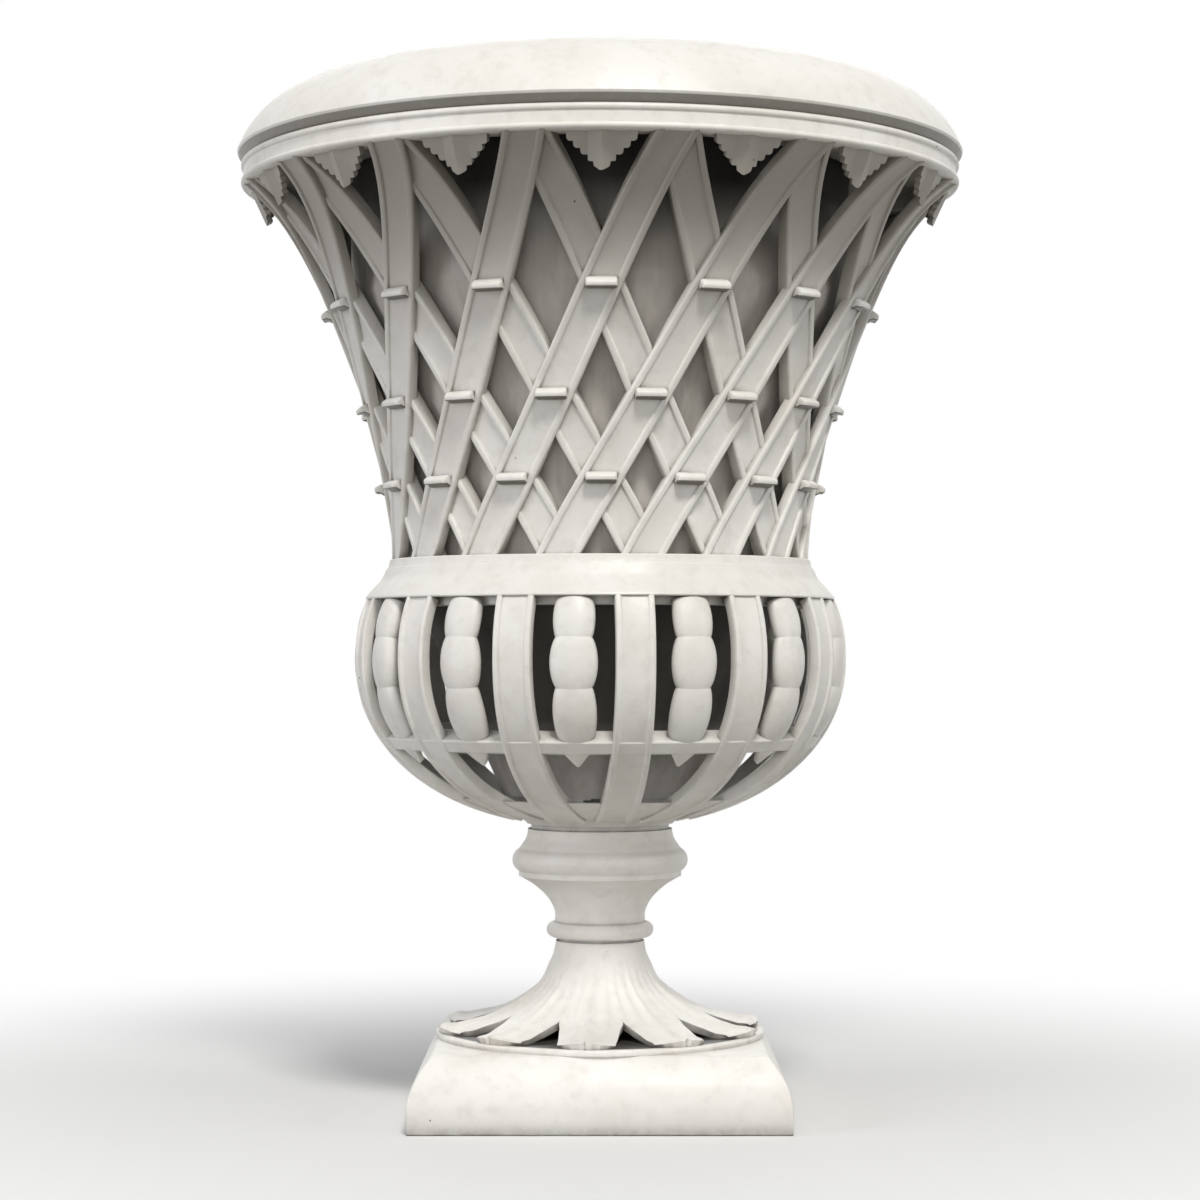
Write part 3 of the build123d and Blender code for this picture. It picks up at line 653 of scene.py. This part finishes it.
plinth = bmesh.new()
bmesh.ops.create_grid(plinth, x_segments=1, y_segments=1, size=base_half * mm)
rings = [(base_half, base_side)]
for step in range(1, ovolo_steps + 1):
    share = step / ovolo_steps
    bulge = ovolo_bulge * sin(2 * (pi / 2 * share))
    half = base_half - (base_half - base_top_half) * share + bulge
    rings.append((half, base_side + (base_shoulder - base_side) * share))
top_face = plinth.faces[:]
for half, height in rings:
    grown = bmesh.ops.extrude_face_region(plinth, geom=top_face)["geom"]
    bmesh.ops.delete(plinth, geom=top_face, context="FACES_ONLY")
    top_face = bmesh_items(grown, bmesh.types.BMFace)
    for vert in bmesh_items(grown, bmesh.types.BMVert):
        x = half if vert.co.x > 0 else -half
        y = half if vert.co.y > 0 else -half
        vert.co = Vector((x, y, height)) * mm
print("plinth rings:", len(rings))

# %% Plinth hollow and edges
open_edges = [edge for edge in plinth.edges if edge.is_boundary]
underside = bmesh.ops.holes_fill(plinth, edges=open_edges)["faces"]
bmesh.ops.inset_region(plinth, faces=underside, thickness=base_wall * mm)
sunk = bmesh.ops.extrude_face_region(plinth, geom=underside)["geom"]
bmesh.ops.delete(plinth, geom=underside, context="FACES_ONLY")
for vert in bmesh_items(sunk, bmesh.types.BMVert):
    roof = (base_high - hollow_roof) * mm
    vert.co = Vector((vert.co.x * hollow_draft, vert.co.y * hollow_draft, roof))
sharp = [edge for edge in plinth.edges if not edge.is_boundary and edge.calc_face_angle(0) > radians(20)]
bmesh.ops.bevel(
    plinth,
    geom=sharp,
    offset=base_edge * mm,
    offset_type="OFFSET",
    segments=3,
    profile=0.5,
    affect="EDGES",
    material=-1,
)
print("bevelled edges:", len(sharp))

# %% Plinth disc
disc_radius = 91.0
disc_hole = 8.0
disc_low = 36.0
disc_line = [
    (disc_hole, disc_low, 0),
    (disc_radius - 3, disc_low, 0),
    (disc_radius, base_high - 3, 1.0),
    (disc_radius, base_high, 1.3),
    (disc_hole, base_high, 0),
]
disc = turned(rounded(disc_line))
disc_data = bpy.data.meshes.new("disc")
disc.to_mesh(disc_data)
disc.free()
plinth.from_mesh(disc_data)
# Its paint has near-black painted shade on the disc's top, inside the leaf tips.
finish_piece("plinth_casting", plinth, plinth_enamel, "urn", "plinth")

# %% [markdown]
# ## Curves for templates
# A turner works to a template. Its straight parts and small radii come from corners, its rounds
# from arcs through three points, and its long hollows from a smooth curve through a few points.

# %% Curves
def curve(points, steps=8):
    """Points on a smooth curve through the given ones (Catmull-Rom)."""
    knots = [Vector(point) for point in points]
    knots = [2 * knots[0] - knots[1]] + knots + [2 * knots[-1] - knots[-2]]
    line = []
    for k in range(1, len(knots) - 2):
        a, b, c, d = knots[k - 1 : k + 3]
        for step in range(steps):
            t = step / steps
            square = (2 * a - 5 * b + 4 * c - d) * t**2
            line.append(0.5 * (2 * b + (c - a) * t + square + (3 * b - a - 3 * c + d) * t**3))
    return line + [knots[-2]]


def arc(start, middle, end, steps=10):
    """Points on the circle through three points."""
    (ax, ay), (bx, by), (cx, cy) = start, middle, end
    a, b, c = ax**2 + ay**2, bx**2 + by**2, cx**2 + cy**2
    d = 2 * (ax * (by - cy) + bx * (cy - ay) + cx * (ay - by))
    centre_x = (a * (by - cy) + b * (cy - ay) + c * (ay - by)) / d
    centre_y = (a * (cx - bx) + b * (ax - cx) + c * (bx - ax)) / d
    centre = Vector((centre_x, centre_y))
    first = Vector(start) - centre
    turn = 0
    for p, q in ((start, middle), (middle, end)):
        u, v = Vector(p) - centre, Vector(q) - centre
        turn += atan2(u.x * v.y - u.y * v.x, u.dot(v))
    return [centre + Matrix.Rotation(turn * step / steps, 2) @ first for step in range(steps + 1)]


print("points on a half circle:", len(arc((1, 0), (0, 1), (-1, 0))))

# %% [markdown]
# ## Stem
# The baluster is turned in one piece: a small bead at its foot, a long hollow that widens to the
# knop, and a neck under the bowl. At both ends a shallow groove draws the thin dark line of a
# joint.

# %% Stem
stem_low, stem_high = level("stem")
knop = reach("stem")
bore = 5.5
foot_radius = 24.8
neck_radius = 40.0
seam_groove = 1.7


def up(share):
    """A height on the stem, as a share of its length."""
    return stem_low + (stem_high - stem_low) * share


groove_low, groove_high = foot_radius - seam_groove, neck_radius - seam_groove
hollow = [(25.0, up(0.175)), (25.3, up(0.26)), (29.2, up(0.37)), (36.5, up(0.475)), (44.2, up(0.548))]
neck = [(44.6, up(0.793)), (41.3, up(0.87)), (40.2, up(0.93)), (40.2, up(0.955))]
stem_line = [(bore, stem_low), (groove_low, stem_low), (groove_low, stem_low + 1.3), (24.5, stem_low + 1.5)]
stem_line += arc((foot_radius, up(0.03)), (29.7, up(0.095)), (foot_radius, up(0.16)))
stem_line += curve(hollow)[1:] + [(45.2, up(0.555)), (45.2, up(0.59))]
stem_line += arc((45.2, up(0.596)), (knop, up(0.685)), (45.0, up(0.785)))
stem_line += curve(neck) + [(groove_high, stem_high - 2.5), (groove_high, stem_high), (bore, stem_high)]
finish_piece("stem_baluster", turned(stem_line, 128), white_enamel, "urn", "stem", 28)

# %% [markdown]
# ## Belt
# The belt is the shoulder that joins the bowl to the lattice. A step below its lip takes the tops of
# the ribs, a hollow curve leads up to a flat seat, and the strips stand on that.

# %% Belt
belt_low, belt_high = level("belt")
belt_bore = 104.0
belt_seat = belt_low + 4.5
belt_hollow = [(130.0, 1.4), (126.1, 6.0), (121.4, 11.2), (118.9, 16.3)]
belt_line = [(belt_bore, belt_low), (122.4, belt_low), (122.8, belt_low + 0.5), (122.8, belt_seat)]
belt_line += [(129.6, belt_seat), (130.2, belt_seat + 0.6)]
belt_line += curve([(radius, belt_seat + rise) for radius, rise in belt_hollow])
belt_line += [(118.6, belt_seat + 17.0), (117.9, belt_seat + 17.2), (117.6, belt_seat + 17.8)]
belt_line += [(116.9, belt_high - 0.6), (116.3, belt_high), (belt_bore, belt_high)]
finish_piece("belt_shoulder", turned(belt_line), white_enamel, "urn", "belt", 28)

# %% [markdown]
# ## Rim
# A narrow ring with a bead along each edge carries the broad rolled crown, which overhangs it. The
# crown's underside, in shade and darkened further by painted shade, is the dark line round the rim,
# and its roll is one arc, level at the mouth.

# %% Lip ring
lip_low, lip_high = level("rim_lip_ring")
lip_radius = reach("rim_lip_ring")
face_radius = lip_radius - 1.4
bead = 3.6
web_bore, web_thick, lip_bore = 141.0, 5.0, 182.8
lip_line = [(lip_bore + 0.2, lip_low), (face_radius - 0.4, lip_low)]
lip_line += arc((face_radius, lip_low + 0.2), (lip_radius, lip_low + bead / 2), (face_radius, lip_low + bead))
lip_line += arc((face_radius, lip_high - bead), (lip_radius, lip_high - bead / 2), (face_radius, lip_high))
lip_line += [(web_bore, lip_high), (web_bore, lip_high - web_thick), (lip_bore, lip_high - web_thick)]
finish_piece("rim_band", turned(lip_line), white_enamel, "urn", "rim_lip_ring", 28)

# %% Crown
crown_radius = reach("rim_crown")
crown_top = 151.0
mouth = 146.5
mouth_round = 4.5
crown_wall = 6.0
roll_steps = 25
edge_height = crown_low + 5.0
roll_run, roll_rise = crown_radius - crown_top, crown_high - edge_height
roll = (roll_run**2 + roll_rise**2) / (2 * roll_rise)
roll_sweep = asin(roll_run / roll)
crown_line = [(190.0, crown_low), (197.0, crown_low), (crown_radius - 0.7, edge_height - 0.3)]
for step in range(roll_steps):
    turn = roll_sweep * (1 - 0.012 - step / roll_steps)
    crown_line.append((crown_top + roll * sin(turn), crown_high - roll + roll * cos(turn)))
middle = (mouth + 1.32, crown_high - 1.32)
crown_line += arc((crown_top, crown_high), middle, (mouth, crown_high - mouth_round), 8)
crown_line += [(mouth, crown_low), (mouth + crown_wall, crown_low), (mouth + crown_wall, crown_high - 8)]
finish_piece("rolled_crown", turned(crown_line), crown_enamel, "urn", "rim_crown", 28)

# %% [markdown]
# ## Bowl
# Thirteen flat bars run over the bowl like the ribs of a basket, and between them stand thirteen
# spindles of three beads each. All follow one outline, a flattened oval a little fuller than an
# ellipse, so that outline is a function of the height.

# %% Bowl outline
cup_low, cup_high = level("bowl_cup")
bowl_radius = 136.3
bowl_middle = cup_low + 92.0
bowl_half = 95.0
bowl_power = 2.15
rib_count = 13
rib_turn = radians(8.0)


def bowl_line(height):
    """Radius of the bowl's face at a height."""
    rise = abs(height - bowl_middle) / bowl_half
    return bowl_radius * (1 - rise**bowl_power) ** (1 / bowl_power)


def slope_of(line, height, probe=0.05):
    """How fast an outline's radius grows with the height."""
    return (line(height + probe) - line(height - probe)) / (2 * probe)


def front_station(line, height, depth=0.0, across=1.0, out=1.0):
    """A station on an outline at the front of the urn, sunk behind it by a depth."""
    outward = Vector((0, -1, -slope_of(line, height))).normalized()
    origin = Vector((0, -line(height), height)) - outward * depth
    return frame_at(origin, Vector((1, 0, 0)), outward), across, out


print("bowl radius at its widest:", round(bowl_line(bowl_middle), 1), "mm")

# %% [markdown]
# ## Ribs
# A rib is a flat bar with a raised, rounded lip along each edge. The stations lie closer together
# near the cup, where the bowl curves most.

# %% Ribs
def lipped_section(width, thickness, lip_width, lip_height, fillet):
    """Flat bar with a raised, rounded lip along both edges."""
    half = width / 2
    inner = half - lip_width
    corners = [
        (half, -thickness, fillet * 0.5),
        (half, 0, fillet),
        (inner, 0, fillet * 0.8),
        (inner - lip_height * 0.4, -lip_height, lip_height * 0.35),
    ]
    mirrored = [(-x, y, fillet) for x, y, fillet in reversed(corners)]
    return rounded(corners + mirrored, 3)


rib_width, rib_thickness = 20.5, 6.0
rib_foot, rib_head = cup_low + 2.6, belt_seat + 0.5
rib_steps = 40
rib_stations = []
for k in range(rib_steps + 1):
    share = k / rib_steps
    rise = share**1.6 * 0.6 + share * 0.4
    rib_stations.append(front_station(bowl_line, rib_foot + (rib_head - rib_foot) * rise))
ribs = swept(lipped_section(rib_width, rib_thickness, 3.0, 1.2, 1.2), rib_stations)
ring_copies(ribs, rib_count, rib_turn)
finish_piece("bowl_rib_bars", ribs, white_enamel, "urn", "bowl_ribs")

# %% [markdown]
# ## Cup and ring
# The cup closes the bottom of the bowl just behind the ribs' faces. The ring ties the ribs together
# at two fifths of the height, and its top slopes back to a ledge that catches the light.

# %% Cup
def sunk_point(line, height, depth):
    """A point behind an outline, measured square to it."""
    slope = slope_of(line, height)
    run = sqrt(1 + slope**2)
    return Vector((line(height) - depth / run, height + depth * slope / run))


cup_steps = 16
cup_depth = 1.8
cup_start = cup_low + 1.2
cup_side = []
for k in range(cup_steps + 1):
    point = sunk_point(bowl_line, cup_start + (cup_high - cup_start) * k / cup_steps, cup_depth)
    if point.y < cup_high:
        cup_side.append(point)
cup_line = [(bore, cup_low), (40.6, cup_low), (42.0, cup_low + 1.6)] + cup_side
cup_line += [(cup_side[-1].x - 1.0, cup_high), (73.0, cup_high), (54.0, cup_low + 8), (bore, cup_low + 5)]
finish_piece("bowl_cup_casting", turned(cup_line), white_enamel, "urn", "bowl_cup", 28)

# %% Ring
ring_low, ring_high = level("bowl_ring")
ring_bore = 107.0
ring_front = ring_high - 6.0
face = [(ring_low, 1.4), (ring_low + 0.6, 0.8), (ring_front - 0.7, 0.8), (ring_front, 1.3)]
ring_line = [(ring_bore, ring_low)] + [sunk_point(bowl_line, height, depth) for height, depth in face]
ring_line += [(bowl_line(ring_front) - 8, ring_high), (ring_bore, ring_high)]
finish_piece("bowl_ring_casting", turned(ring_line), white_enamel, "urn", "bowl_ring", 28)

# %% [markdown]
# ## Spindles and drops
# A spindle is an oval section that swells and narrows three times from ring to belt, with its
# stations crowded at the necks, where the form turns fastest. Under the ring, in line with each
# spindle, hangs a small drop that narrows to a point.

# %% Spindles
neck_width, neck_thickness = 19.0, 9.6
bead_swell = 1.6
bead_widths = (23.0, 25.2, 22.0)
bead_ends = (0.0, 0.365, 0.725, 1.0)
bead_steps = 12
spindle_depth = 5.5
oval_points = 28
turns = [2 * pi * k / oval_points for k in range(oval_points)]
oval = [(0.5 * cos(turn), 0.5 * sin(turn)) for turn in turns]
spindle_stations = []
for number, width in enumerate(bead_widths):
    start, end = (ring_front + (belt_seat - ring_front) * share for share in bead_ends[number : number + 2])
    for k in range(1 if number else 0, bead_steps + 1):
        share = (1 - cos(pi * k / bead_steps)) / 2
        swell = (4 * share * (1 - share)) ** 0.8
        height = start + (end - start) * share
        wide = neck_width + (width - neck_width) * swell
        thick = neck_thickness + bead_swell * swell
        spindle_stations.append(front_station(bowl_line, height, spindle_depth, wide, thick))
spindles = swept(oval, spindle_stations)
ring_copies(spindles, rib_count, rib_turn + pi / rib_count)
finish_piece("beaded_spindles", spindles, white_enamel, "urn", "bowl_spindles", 50)

# %% Drops under the ring
drop_width, drop_thickness = 16.4, 5.0
drop_length = 8.4
drop_steps = 6
drop_stations = []
for k in range(drop_steps + 1):
    share = k / drop_steps
    wide, thick = drop_width - 14.0 * share, drop_thickness - 1.6 * share
    height = ring_low + 1.0 - drop_length * share
    drop_stations.append(front_station(bowl_line, height, 3.4, wide, thick))
drop_section = [(-0.5, -0.5, 0.08), (0.5, -0.5, 0.08), (0.5, 0.3, 0.1), (0, 0.5, 0.2), (-0.5, 0.3, 0.1)]
drops = swept(rounded(drop_section, 2), drop_stations)
ring_copies(drops, rib_count, rib_turn + pi / rib_count)
finish_piece("ring_drop_points", drops, white_enamel, "urn", "ring_drops")

# %% [markdown]
# ## Lattice
# Sixteen strips climb to the right and sixteen to the left. From crossing to crossing a strip turns
# by half a pitch, but the crossings spread out towards the rim, so a smooth curve through their
# measured heights gives the height for any place along a strip.

# %% Lattice path
lattice_low, lattice_high = level("lattice_front_strips")
lattice_tall = lattice_high - lattice_low
strip_count = 16
lattice_turn = radians(-10.9)
half_pitch = pi / strip_count
crossings = (0.0, 0.19, 0.397, 0.662, 1.0)


def bell_line(height):
    """Radius of the lattice's face at a height: a bell that flares hard at the very top."""
    rise = max(height - lattice_low, 0.0) / lattice_tall
    return 115.5 + 67.0 * rise**1.6 + 15.0 * rise**12


def crossing_height(place):
    """Height at a place counted in crossings, on the one polynomial through the measured ones."""
    share = 0.0
    for k, known in enumerate(crossings):
        weight = 1.0
        for other in range(len(crossings)):
            if other != k:
                weight *= (place - other) / (k - other)
        share += known * weight
    return lattice_low + lattice_tall * share


def strip_point(place, hand):
    """A point on the path of a strip; hand is 1 for one that climbs to the right."""
    height = crossing_height(place)
    turn = hand * half_pitch * place
    return Vector((bell_line(height) * sin(turn), -bell_line(height) * cos(turn), height))


def strip_station(place, hand, depth):
    """A station square to a strip's path."""
    along = strip_point(place + 0.03, hand) - strip_point(place - 0.03, hand)
    turn = hand * half_pitch * place
    outward = Vector((sin(turn), -cos(turn), -slope_of(bell_line, crossing_height(place)))).normalized()
    across = outward.cross(along).normalized()
    return frame_at(strip_point(place, hand) - outward * depth, across, outward), 1.0, 1.0


print("crossings at", [round(crossing_height(k)) for k in range(len(crossings))], "mm")

# %% [markdown]
# ## Strips
# A strip is the same lipped bar as a rib. It is swept a little past both ends of the lattice and
# then cut level, as a fitter would saw it off, and each cut is closed with a face.

# %% Strips
strip_width = 21.0
strip_steps = 56
strip_start, strip_length = -0.3, 4.6


def cut_level(shape, height, side):
    """Take off what lies above (side 1) or below (side -1) a height, and close the cut."""
    cut = bmesh.ops.bisect_plane(
        shape,
        geom=everything(shape),
        plane_co=(0, 0, height * mm),
        plane_no=(0, 0, side),
        clear_outer=True,
    )
    bmesh.ops.holes_fill(shape, edges=bmesh_items(cut["geom_cut"], bmesh.types.BMEdge))


def strip_family(name, hand, thickness, depth, node):
    """All the strips of one hand."""
    places = [strip_start + strip_length * k / strip_steps for k in range(strip_steps + 1)]
    section = lipped_section(strip_width, thickness, 3.4, 1.3, 1.3)
    shape = swept(section, [strip_station(place, hand, depth) for place in places])
    cut_level(shape, lattice_low, -1)
    cut_level(shape, lattice_high, 1)
    ring_copies(shape, strip_count, lattice_turn)
    finish_piece(name, shape, lattice_enamel, "urn", node, 40)


# Both hands carry painted shade that deepens towards the rim.
strip_family("front_strips", 1, 6.0, 0.0, "lattice_front_strips")
strip_family("back_strips", -1, 7.5, 2.0, "lattice_back_strips")

# %% [markdown]
# ## Collars
# A short bar lies level across each crossing in three rows. Its top edge is round and bright, and
# below it is cut back and darkened with painted shade where it faces down, which makes the dark
# line under each one. Its ends close in a few steps, so they look rounded.

# %% Collars
collar_section = [
    (-3.1, -2.4, 0),
    (-3.1, 0.4, 0),
    (-1.3, 2.4, 0.8),
    (-0.9, 5.0, 0.9),
    (2.0, 5.0, 1.9),
    (3.1, 1.4, 0.8),
    (3.1, -2.4, 0),
]
collar_end = [(8.2, 0.62), (7.9, 0.86), (7.3, 0.97), (6.5, 1.0)]
collar_sizes = [(-x, size) for x, size in collar_end] + [(x, size) for x, size in reversed(collar_end)]


def collar_row(name, crossing, node):
    """Bars laid level across one row of crossings."""
    height = crossing_height(crossing)
    slope = slope_of(bell_line, height)
    outward = Vector((0, -1, -slope)).normalized()
    upward = Vector((0, -slope, 1)).normalized()
    origin = Vector((0, -bell_line(height), height))
    stations = []
    for x, size in collar_sizes:
        stations.append((frame_at(origin + Vector((x, 0, 0)), upward, outward), size, size))
    shape = swept(rounded(collar_section, 4), stations)
    ring_copies(shape, strip_count, lattice_turn + half_pitch * crossing)
    finish_piece(name, shape, collar_enamel, "urn", node, 50)


for crossing, row in ((1, "lower"), (2, "middle"), (3, "upper")):
    collar_row(row + "_collar_bars", crossing, "collars_" + row)

# %% [markdown]
# ## Leaves under the rim
# A saw-edged leaf hangs in each gap of the lattice. Its outline is drawn once as a flat face with
# five teeth a side and cut along three lines, which then fold into a midrib. After that it gets its
# thickness, leans with the bell, and is cut level under the lip ring.

# %% Rim leaf outline
leaf_half = 18.5
leaf_drop = 17.0
teeth = 5
tooth_points = ((0.12, -0.5), (0.5, 1.1), (0.8, 1.0))
top_corner, low_point = Vector((leaf_half, 0.0)), Vector((0.0, -leaf_drop))
out_of_side = Vector((leaf_drop, -leaf_half)).normalized()
right_edge = [(leaf_half, 2.5)]
for tooth in range(teeth):
    for part, step_out in tooth_points:
        share = (tooth + part) / teeth
        belly = 0.9 * sin(pi * share)
        point = top_corner.lerp(low_point, share) + out_of_side * (step_out + belly)
        right_edge.append((max(point.x, 0.6), point.y))
right_edge.append((0.0, -leaf_drop - 1.0))
left_edge = [(-x, z) for x, z in reversed(right_edge[:-1])]
print("points round a rim leaf:", len(right_edge + left_edge))

# %% Rim leaves
fold = 0.35 * leaf_half
leaf_thickness = 3.0
leaf_lean = radians(25)
leaf_front = face_radius - 9.0
leaves = bmesh.new()
leaves.faces.new([leaves.verts.new((x * mm, 0, z * mm)) for x, z in right_edge + left_edge])
for x in (0.0, -fold, fold):
    bmesh.ops.bisect_plane(leaves, geom=everything(leaves), plane_co=(x * mm, 0, 0), plane_no=(1, 0, 0))
for vert in leaves.verts:
    x = abs(vert.co.x / mm)
    side = min(1.0, x / fold)
    vert.co.y = (-2.2 + 2.6 * side - 0.9 * max(0.0, x - fold) / leaf_half) * mm
bmesh.ops.recalc_face_normals(leaves, faces=leaves.faces)
bmesh.ops.solidify(leaves, geom=leaves.faces[:], thickness=leaf_thickness * mm)
bmesh.ops.rotate(leaves, verts=leaves.verts, cent=(0, 0, 0), matrix=Matrix.Rotation(leaf_lean, 3, "X"))
bmesh.ops.translate(leaves, verts=leaves.verts, vec=(0, -leaf_front * mm, lip_low * mm))
cut_level(leaves, lip_low, 1)
bmesh.ops.remove_doubles(leaves, verts=leaves.verts, dist=0.02 * mm)
bmesh.ops.triangulate(leaves, faces=[face for face in leaves.faces if len(face.verts) > 4])
ring_copies(leaves, strip_count, lattice_turn + half_pitch)
# The leaves carry the same painted shade under the rim as the strips.
finish_piece("rim_leaf_drops", leaves, lattice_enamel, "urn", "rim_leaves", 30)

# %% [markdown]
# ## Leaf foot
# The foot is a trumpet that opens into ten broad leaves with gaps between them. One tenth of it is
# spun from a line down its back. Then its points are moved: the columns draw together to the leaf's
# own width, the tip is rounded, and a midrib, flutes and a curl give relief. Copies close the ring,
# and the sheet gets its thickness last.

# %% Leaf foot sheet
foot_low, foot_high = level("leaf_foot")
leaf_count = 10
foot_turn = radians(-5.0)
half_leaf = pi / leaf_count
tip = 89.6
columns = 36
foot_drops = [(24.5, 0.0), (25.6, 6.0), (27.9, 11.5), (35.5, 25.0)]
foot_drops += [(55.8, 38.6), (74.0, 43.4), (86.0, 45.6), (tip, 47.0)]
foot = bmesh.new()
back_line = curve([(radius, foot_high - drop) for radius, drop in foot_drops], 9)
back_verts = [foot.verts.new((0, -point.x * mm, point.y * mm)) for point in back_line]
for k in range(len(back_verts) - 1):
    foot.edges.new(back_verts[k : k + 2])
bmesh.ops.spin(
    foot,
    geom=foot.verts[:] + foot.edges[:],
    cent=(0, 0, 0),
    axis=(0, 0, 1),
    angle=2 * half_leaf,
    steps=columns,
    use_merge=False,
    use_duplicate=False,
)
print("one leaf before shaping:", len(foot.faces), "faces")

# %% Leaf foot shaping
web = 55.0
web_fade = 6.0
leaf_wide = 16.6
fan_start = 60.0
throat = 24.5
for vert in foot.verts:
    radius = sqrt(vert.co.x**2 + vert.co.y**2) / mm
    across = atan2(vert.co.x, -vert.co.y) / half_leaf - 1
    free = min(1.0, max(0.0, (radius - web) / web_fade))
    strap = asin(min(1.0, leaf_wide / radius))
    turn = foot_turn + across * (half_leaf * (1 - free) + strap * free)
    fan = max(0.0, (radius - fan_start) / (tip - fan_start))
    scallop = 0.45 * fan * (1 - cos(6 * pi * across)) * (1 - across**2)
    radius -= 6.0 * fan * abs(across) ** 3.2 - scallop
    relief = min(1.0, max(0.0, (radius - throat) / 12.0))
    lift = relief * (1.1 * max(0.0, 1 - abs(across) * 6) - 1.6 * across**2 * (0.4 + fan))
    lift += 0.5 * relief * cos(2 * pi * across * 2) * (1 - fan)
    lift += 1.5 * max(0.0, fan - 0.7) / 0.3
    vert.co = Vector((radius * sin(turn), -radius * cos(turn), vert.co.z / mm + lift)) * mm
ring_copies(foot, leaf_count, 0.0)
bmesh.ops.remove_doubles(foot, verts=foot.verts, dist=0.02 * mm)
bmesh.ops.recalc_face_normals(foot, faces=foot.faces)
bmesh.ops.solidify(foot, geom=foot.faces[:], thickness=4.0 * mm)
finish_piece("leaf_foot_casting", foot, white_enamel, "urn", "leaf_foot", 40)

# %% [markdown]
# ## Liner
# A bucket of spun sheet metal hangs in the mouth by its flange. It is a cone in the bowl, follows
# the lattice at a small distance, where the openings show a near grey wall, and rises straight near
# the rim, which leaves a dark gap that painted shade on the liner makes darker still.

# %% Liner
wall_low, wall_high = level("liner_wall")
flange_low, flange_high = level("liner_flange")
sheet = 1.5
liner_foot, liner_neck = 54.0, 138.5
behind_lattice = 14.0
swell_line = []
for share in (0.0, 0.2, 0.4, 0.6):
    height = lattice_low + lattice_tall * share
    swell_line.append((bell_line(height) - behind_lattice, height))
swell_line.append((liner_neck, lattice_low + lattice_tall * 0.7))
liner_side = [Vector((liner_foot, wall_low)), Vector((swell_line[0][0], belt_seat))]
liner_side += curve(swell_line) + [Vector((liner_neck, wall_high))]
liner_line = liner_side + [Vector((point.x - sheet, point.y)) for point in reversed(liner_side)]
finish_piece("liner_bucket", turned(liner_line, 160), grey_liner, "liner", "liner_wall")

# %% Liner edge
edge_in, edge_out = 137.0, 145.0
flange_line = [(edge_in, flange_low, 0), (edge_out, flange_low, 1.1)]
flange_line += [(edge_out, flange_high, 1.1), (edge_in, flange_high, 0.6)]
finish_piece("liner_rolled_edge", turned(rounded(flange_line), 160), grey_edge, "liner", "liner_flange")

# %% [markdown]
# ## CAD pieces that stay
# Nuts, washers, screws, the rod and the liner's floor already have their true shapes in the frame.
# A CAD mesh is never changed, but it may be painted, so these only get their finishes.

# %% Paint the CAD pieces that stay
hardware = ("rim_screws", "tie_rod", "lower_washer", "lower_nut", "upper_washer", "upper_nut")
kept = dict.fromkeys(hardware, zinc)
kept["liner_floor"] = grey_liner
for node, finish in kept.items():
    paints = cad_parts[node].data.materials
    paints.clear()
    paints.append(finish)
print("painted CAD pieces:", len(kept))

# %% [markdown]
# ## Finish
# The Standard view shows a colour as it was written.

# %% Finish
bpy.context.scene.view_settings.view_transform = "Standard"
